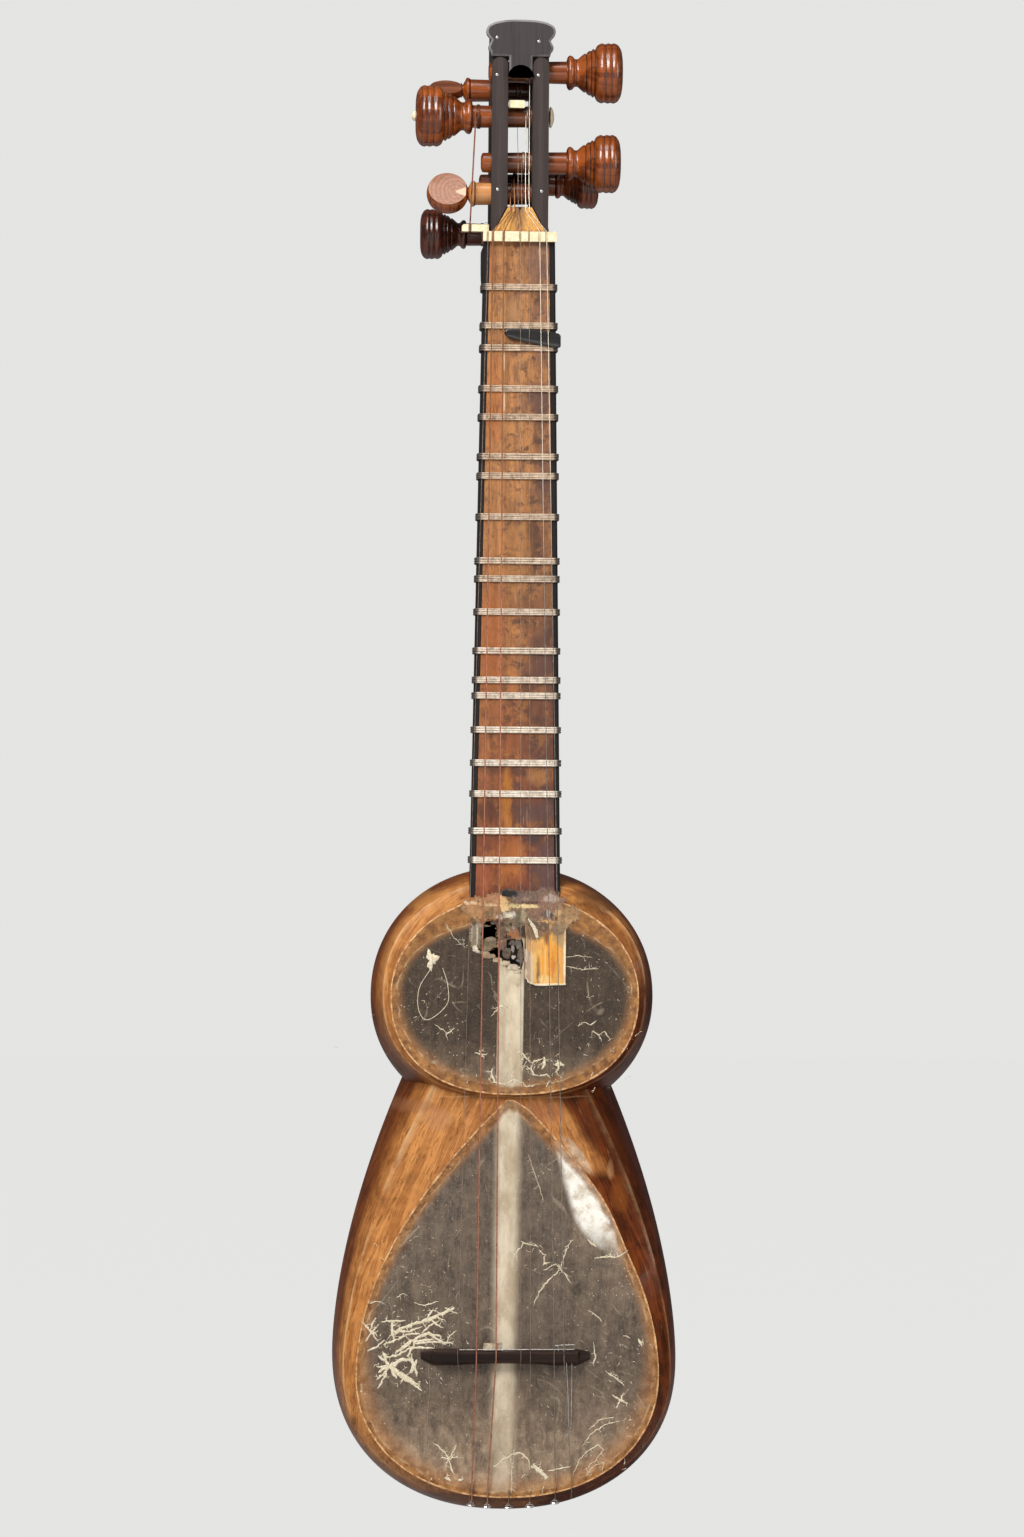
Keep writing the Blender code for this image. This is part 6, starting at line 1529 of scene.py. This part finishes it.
UPPER_CRACKS = {
    "star_a": (1.0, (520, 1051), (525, 1054), (529, 1060), (534, 1063)), "star_b": (0.8, (534, 1063), (539, 1060), (545, 1058)),
    "star_c": (1.2, (545, 1056), (546, 1063), (543, 1069)), "star_d": (0.8, (534, 1063), (532, 1069), (536, 1074), (541, 1076)),
    "star_e": (0.7, (526, 1056), (522, 1062), (524, 1068)), "star_f": (0.8, (541, 1076), (548, 1074), (552, 1078)),
    "blob": (2.4, (556, 1064), (561, 1063), (565, 1065)), "blob_b": (1.2, (559, 1060), (560, 1068), (557, 1072)),
    "hook": (1.0, (494, 1068), (493, 1074), (496, 1081), (501, 1084), (508, 1084)),
    "foot_a": (0.9, (508, 1084), (515, 1080), (521, 1082)), "foot_b": (0.7, (513, 1074), (516, 1080), (514, 1086)),
    "foot_c": (0.8, (521, 1082), (528, 1086), (536, 1085)), "foot_d": (0.7, (548, 1086), (551, 1081), (556, 1083)),
    "left_a": (0.9, (481, 1050), (484, 1055), (482, 1060)), "left_b": (0.7, (476, 1053), (484, 1055), (489, 1053)),
    "left_c": (0.7, (447, 1036), (453, 1031), (456, 1028)), "left_d": (0.5, (437, 1025), (444, 1030), (449, 1033)),
    "right_a": (0.7, (594, 1030), (600, 1034), (603, 1041)), "right_b": (0.6, (600, 1034), (606, 1031), (612, 1039)),
    "right_c": (0.6, (585, 1022), (592, 1024), (598, 1020)),
    "scratch": (0.4, (566, 957), (580, 955), (594, 957)), "scratch_b": (0.4, (568, 966), (584, 969), (600, 968)),
    "scratch_c": (0.4, (447, 924), (455, 938), (468, 948)), "scratch_d": (0.6, (497, 1008), (505, 1005), (514, 1009)),
    "scratch_e": (0.7, (493, 1016), (500, 1008), (508, 1003)),
    "wisp": (0.8, (528, 915), (533, 924), (537, 933), (539, 940)),
}


def crack_skin(name, cracks, face, flecks, seed):
    """All of one skin's cracks as one piece. flecks: middle in the photograph, spread, number and length."""
    draw = random.Random(seed)
    strips, hairs = [], []
    for width, *corners in cracks.values():
        stroke(draw, corners, width, strips, face)
    for px, row, wide, high, number, length, width in flecks.values():
        for _ in range(number):
            x, z = photo_x(px, row) + draw.gauss(0.0, wide), photo_z(row) + draw.gauss(0.0, high)
            target = hairs if width < 0.3 else strips
            grow(draw, x, z, draw.uniform(0.0, 2 * math.pi), length * draw.uniform(0.4, 1.5), width, target, face)
    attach(mesh_object(name, *merged(strips), FLAKE, smooth=60), "body")
    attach(mesh_object(name + "_hairs", *merged(hairs), HAIR, smooth=60), "body")
    print(name, len(strips), "strips", len(hairs), "hairs")


# Each row: middle in the photograph, spread across and up, number, length and width in millimetres.
LOWER_FLECKS = {
    "bridge_left": (405, 1342, 14.0, 13.0, 34, 2.2, 0.6), "right_star": (553, 1268, 9.0, 8.0, 10, 3.0, 0.4),
    "mid_left": (430, 1260, 16.0, 16.0, 22, 1.2, 0.35), "far_right": (600, 1350, 14.0, 12.0, 14, 1.4, 0.35),
    "tail": (540, 1468, 26.0, 5.0, 12, 4.0, 0.5), "right_edge": (628, 1390, 5.0, 16.0, 12, 2.5, 0.5),
    "upper_hairs": (490, 1210, 20.0, 26.0, 34, 3.0, 0.16), "middle_hairs": (500, 1300, 34.0, 12.0, 26, 3.0, 0.16),
    "low_hairs": (520, 1420, 34.0, 16.0, 30, 3.0, 0.16), "left_hairs": (410, 1300, 12.0, 20.0, 14, 3.5, 0.2),
}
UPPER_FLECKS = {
    "low": (525, 1070, 22.0, 5.0, 34, 3.4, 0.5), "left": (430, 1020, 10.0, 12.0, 8, 2.5, 0.4),
    "right_low": (590, 1050, 12.0, 8.0, 10, 3.0, 0.4),
    "right": (600, 990, 10.0, 14.0, 7, 2.5, 0.35), "hairs": (500, 1020, 34.0, 18.0, 44, 3.0, 0.16),
}
crack_skin("cracks_lower", LOWER_CRACKS, LOWER_FACE - 0.02, LOWER_FLECKS, 11)
crack_skin("cracks_upper", UPPER_CRACKS, UPPER_FACE - 0.02, UPPER_FLECKS, 23)

THREAD_LOOP = ((433, 968), (422, 985), (419, 1000), (421, 1013), (427, 1020), (437, 1016), (449, 1003), (449, 985),
               (444, 968))
loop = curve_through(on_photo(THREAD_LOOP, UPPER_FACE - 0.2), 6)
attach(mesh_object("thread_loop", *round_wire(loop, 0.2, 6), FLAKE), "body")
SIDE_THREAD = ((430, 1365), (431, 1392), (429, 1420), (431, 1460))
thread = curve_through(on_photo(SIDE_THREAD, LOWER_FACE - 0.2), 6)
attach(mesh_object("side_thread", *round_wire(thread, 0.14, 6), HAIR), "body")
DAB_PX, DAB_ROW = 433, 960
rings = []
for level, size in ((0.0, 1.0), (-0.4, 0.9), (-0.7, 0.5), (-0.8, 0.15)):
    ring = []
    for a in circle(24):
        r = size * (4.2 + 1.5 * math.sin(3 * a + 1.0) + 1.0 * math.sin(7 * a))
        ring.append((photo_x(DAB_PX, DAB_ROW) + 0.72 * r * math.cos(a), UPPER_FACE + level,
                     photo_z(DAB_ROW) + 1.15 * r * math.sin(a)))
    rings.append(ring)
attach(mesh_object("glue_dab", *skinned(rings), FLAKE, smooth=70), "body")
print("threads laid")

# %% [markdown]
# ## Stage, light and camera
#
# A plain pale floor that runs into the background, soft light from a large panel above and left, a weaker one
# from the right, and a low fill. The camera stands about three metres away, a little left of the front, and is
# turned by under half a degree.

# %%
BACKDROP = (0.78, 0.78, 0.77)


def plain(name, colour, rough):
    made = bpy.data.materials.new(name)
    made.use_nodes = True
    shader = made.node_tree.nodes["Principled BSDF"]
    shader.inputs["Base Color"].default_value = (*colour, 1.0)
    shader.inputs["Roughness"].default_value = rough
    return made


def panel(name, place, target, size, power, colour=(1.0, 1.0, 1.0)):
    light = bpy.data.lights.new(name, "AREA")
    light.shape = "RECTANGLE"
    light.size, light.size_y = size
    light.energy = power
    light.color = colour
    obj = bpy.data.objects.new(name, light)
    obj.location = place
    obj.rotation_euler = (Vector(target) - Vector(place)).to_track_quat("-Z", "Y").to_euler()
    bpy.context.scene.collection.objects.link(obj)


floor_z = -0.80
corners = [(-6000, -6000), (6000, -6000), (6000, 6000), (-6000, 6000)]
floor_paint = plain("floor_paint", (0.50, 0.49, 0.48), 0.9)
ground = mesh_object("floor", [(x, y, floor_z * 1000) for x, y in corners], [(0, 1, 2, 3)], floor_paint)
tree = floor_paint.node_tree
glow = tree.nodes.new("ShaderNodeEmission")
glow.inputs["Color"].default_value = (0.797, 0.800, 0.788, 1.0)
share = tree.nodes.new("ShaderNodeMixShader")
seen_by = tree.nodes.new("ShaderNodeLightPath")
part = Wire(tree, seen_by.outputs["Is Camera Ray"]) * 0.97
tree.links.new(part.socket, share.inputs[0])
tree.links.new(tree.nodes["Principled BSDF"].outputs[0], share.inputs[1])
tree.links.new(glow.outputs[0], share.inputs[2])
tree.links.new(share.outputs[0], tree.nodes["Material Output"].inputs[0])

world = bpy.data.worlds.new("studio")
bpy.context.scene.world = world
world.use_nodes = True
tree = world.node_tree
background = tree.nodes["Background"]
background.inputs["Strength"].default_value = 0.07
background.inputs["Color"].default_value = (0.95, 0.97, 1.0, 1.0)
seen = tree.nodes.new("ShaderNodeBackground")
seen.inputs["Color"].default_value = (*BACKDROP, 1.0)
seen.inputs["Strength"].default_value = 1.0
chooser = tree.nodes.new("ShaderNodeMixShader")
path_kind = tree.nodes.new("ShaderNodeLightPath")
tree.links.new(path_kind.outputs["Is Camera Ray"], chooser.inputs[0])
tree.links.new(background.outputs[0], chooser.inputs[1])
tree.links.new(seen.outputs[0], chooser.inputs[2])
tree.links.new(chooser.outputs[0], tree.nodes["World Output"].inputs[0])

panel("key", (-1.3, -2.0, 1.5), (0, 0, -0.35), (1.2, 1.2), 93)
panel("side", (1.9, -1.2, 0.3), (0, 0, -0.35), (0.5, 1.8), 16)
panel("low", (0.2, -2.6, -0.6), (0, 0, -0.5), (1.6, 0.7), 7)
panel("top", (-0.3, -0.7, 1.5), (0, 0, 0.05), (0.9, 0.5), 10)

target = Vector((-0.0022, 0.0, -0.304))
azimuth = math.radians(2.5)
camera_data = bpy.data.cameras.new("camera")
camera_data.sensor_fit = "VERTICAL"
camera_data.sensor_height = 24.0
camera_data.lens = 24.0 * 3.0 / 0.879
camera = bpy.data.objects.new("camera", camera_data)
camera.location = target + Vector((-math.sin(azimuth), -math.cos(azimuth), 0.0)) * 3.0
look_at = (target - camera.location).to_track_quat("-Z", "Y").to_matrix().to_4x4()
camera.matrix_world = Matrix.Translation(camera.location) @ look_at @ Matrix.Rotation(math.radians(0.41), 4, "Z")
bpy.context.scene.collection.objects.link(camera)
bpy.context.scene.camera = camera
bpy.context.scene.view_settings.view_transform = "Standard"
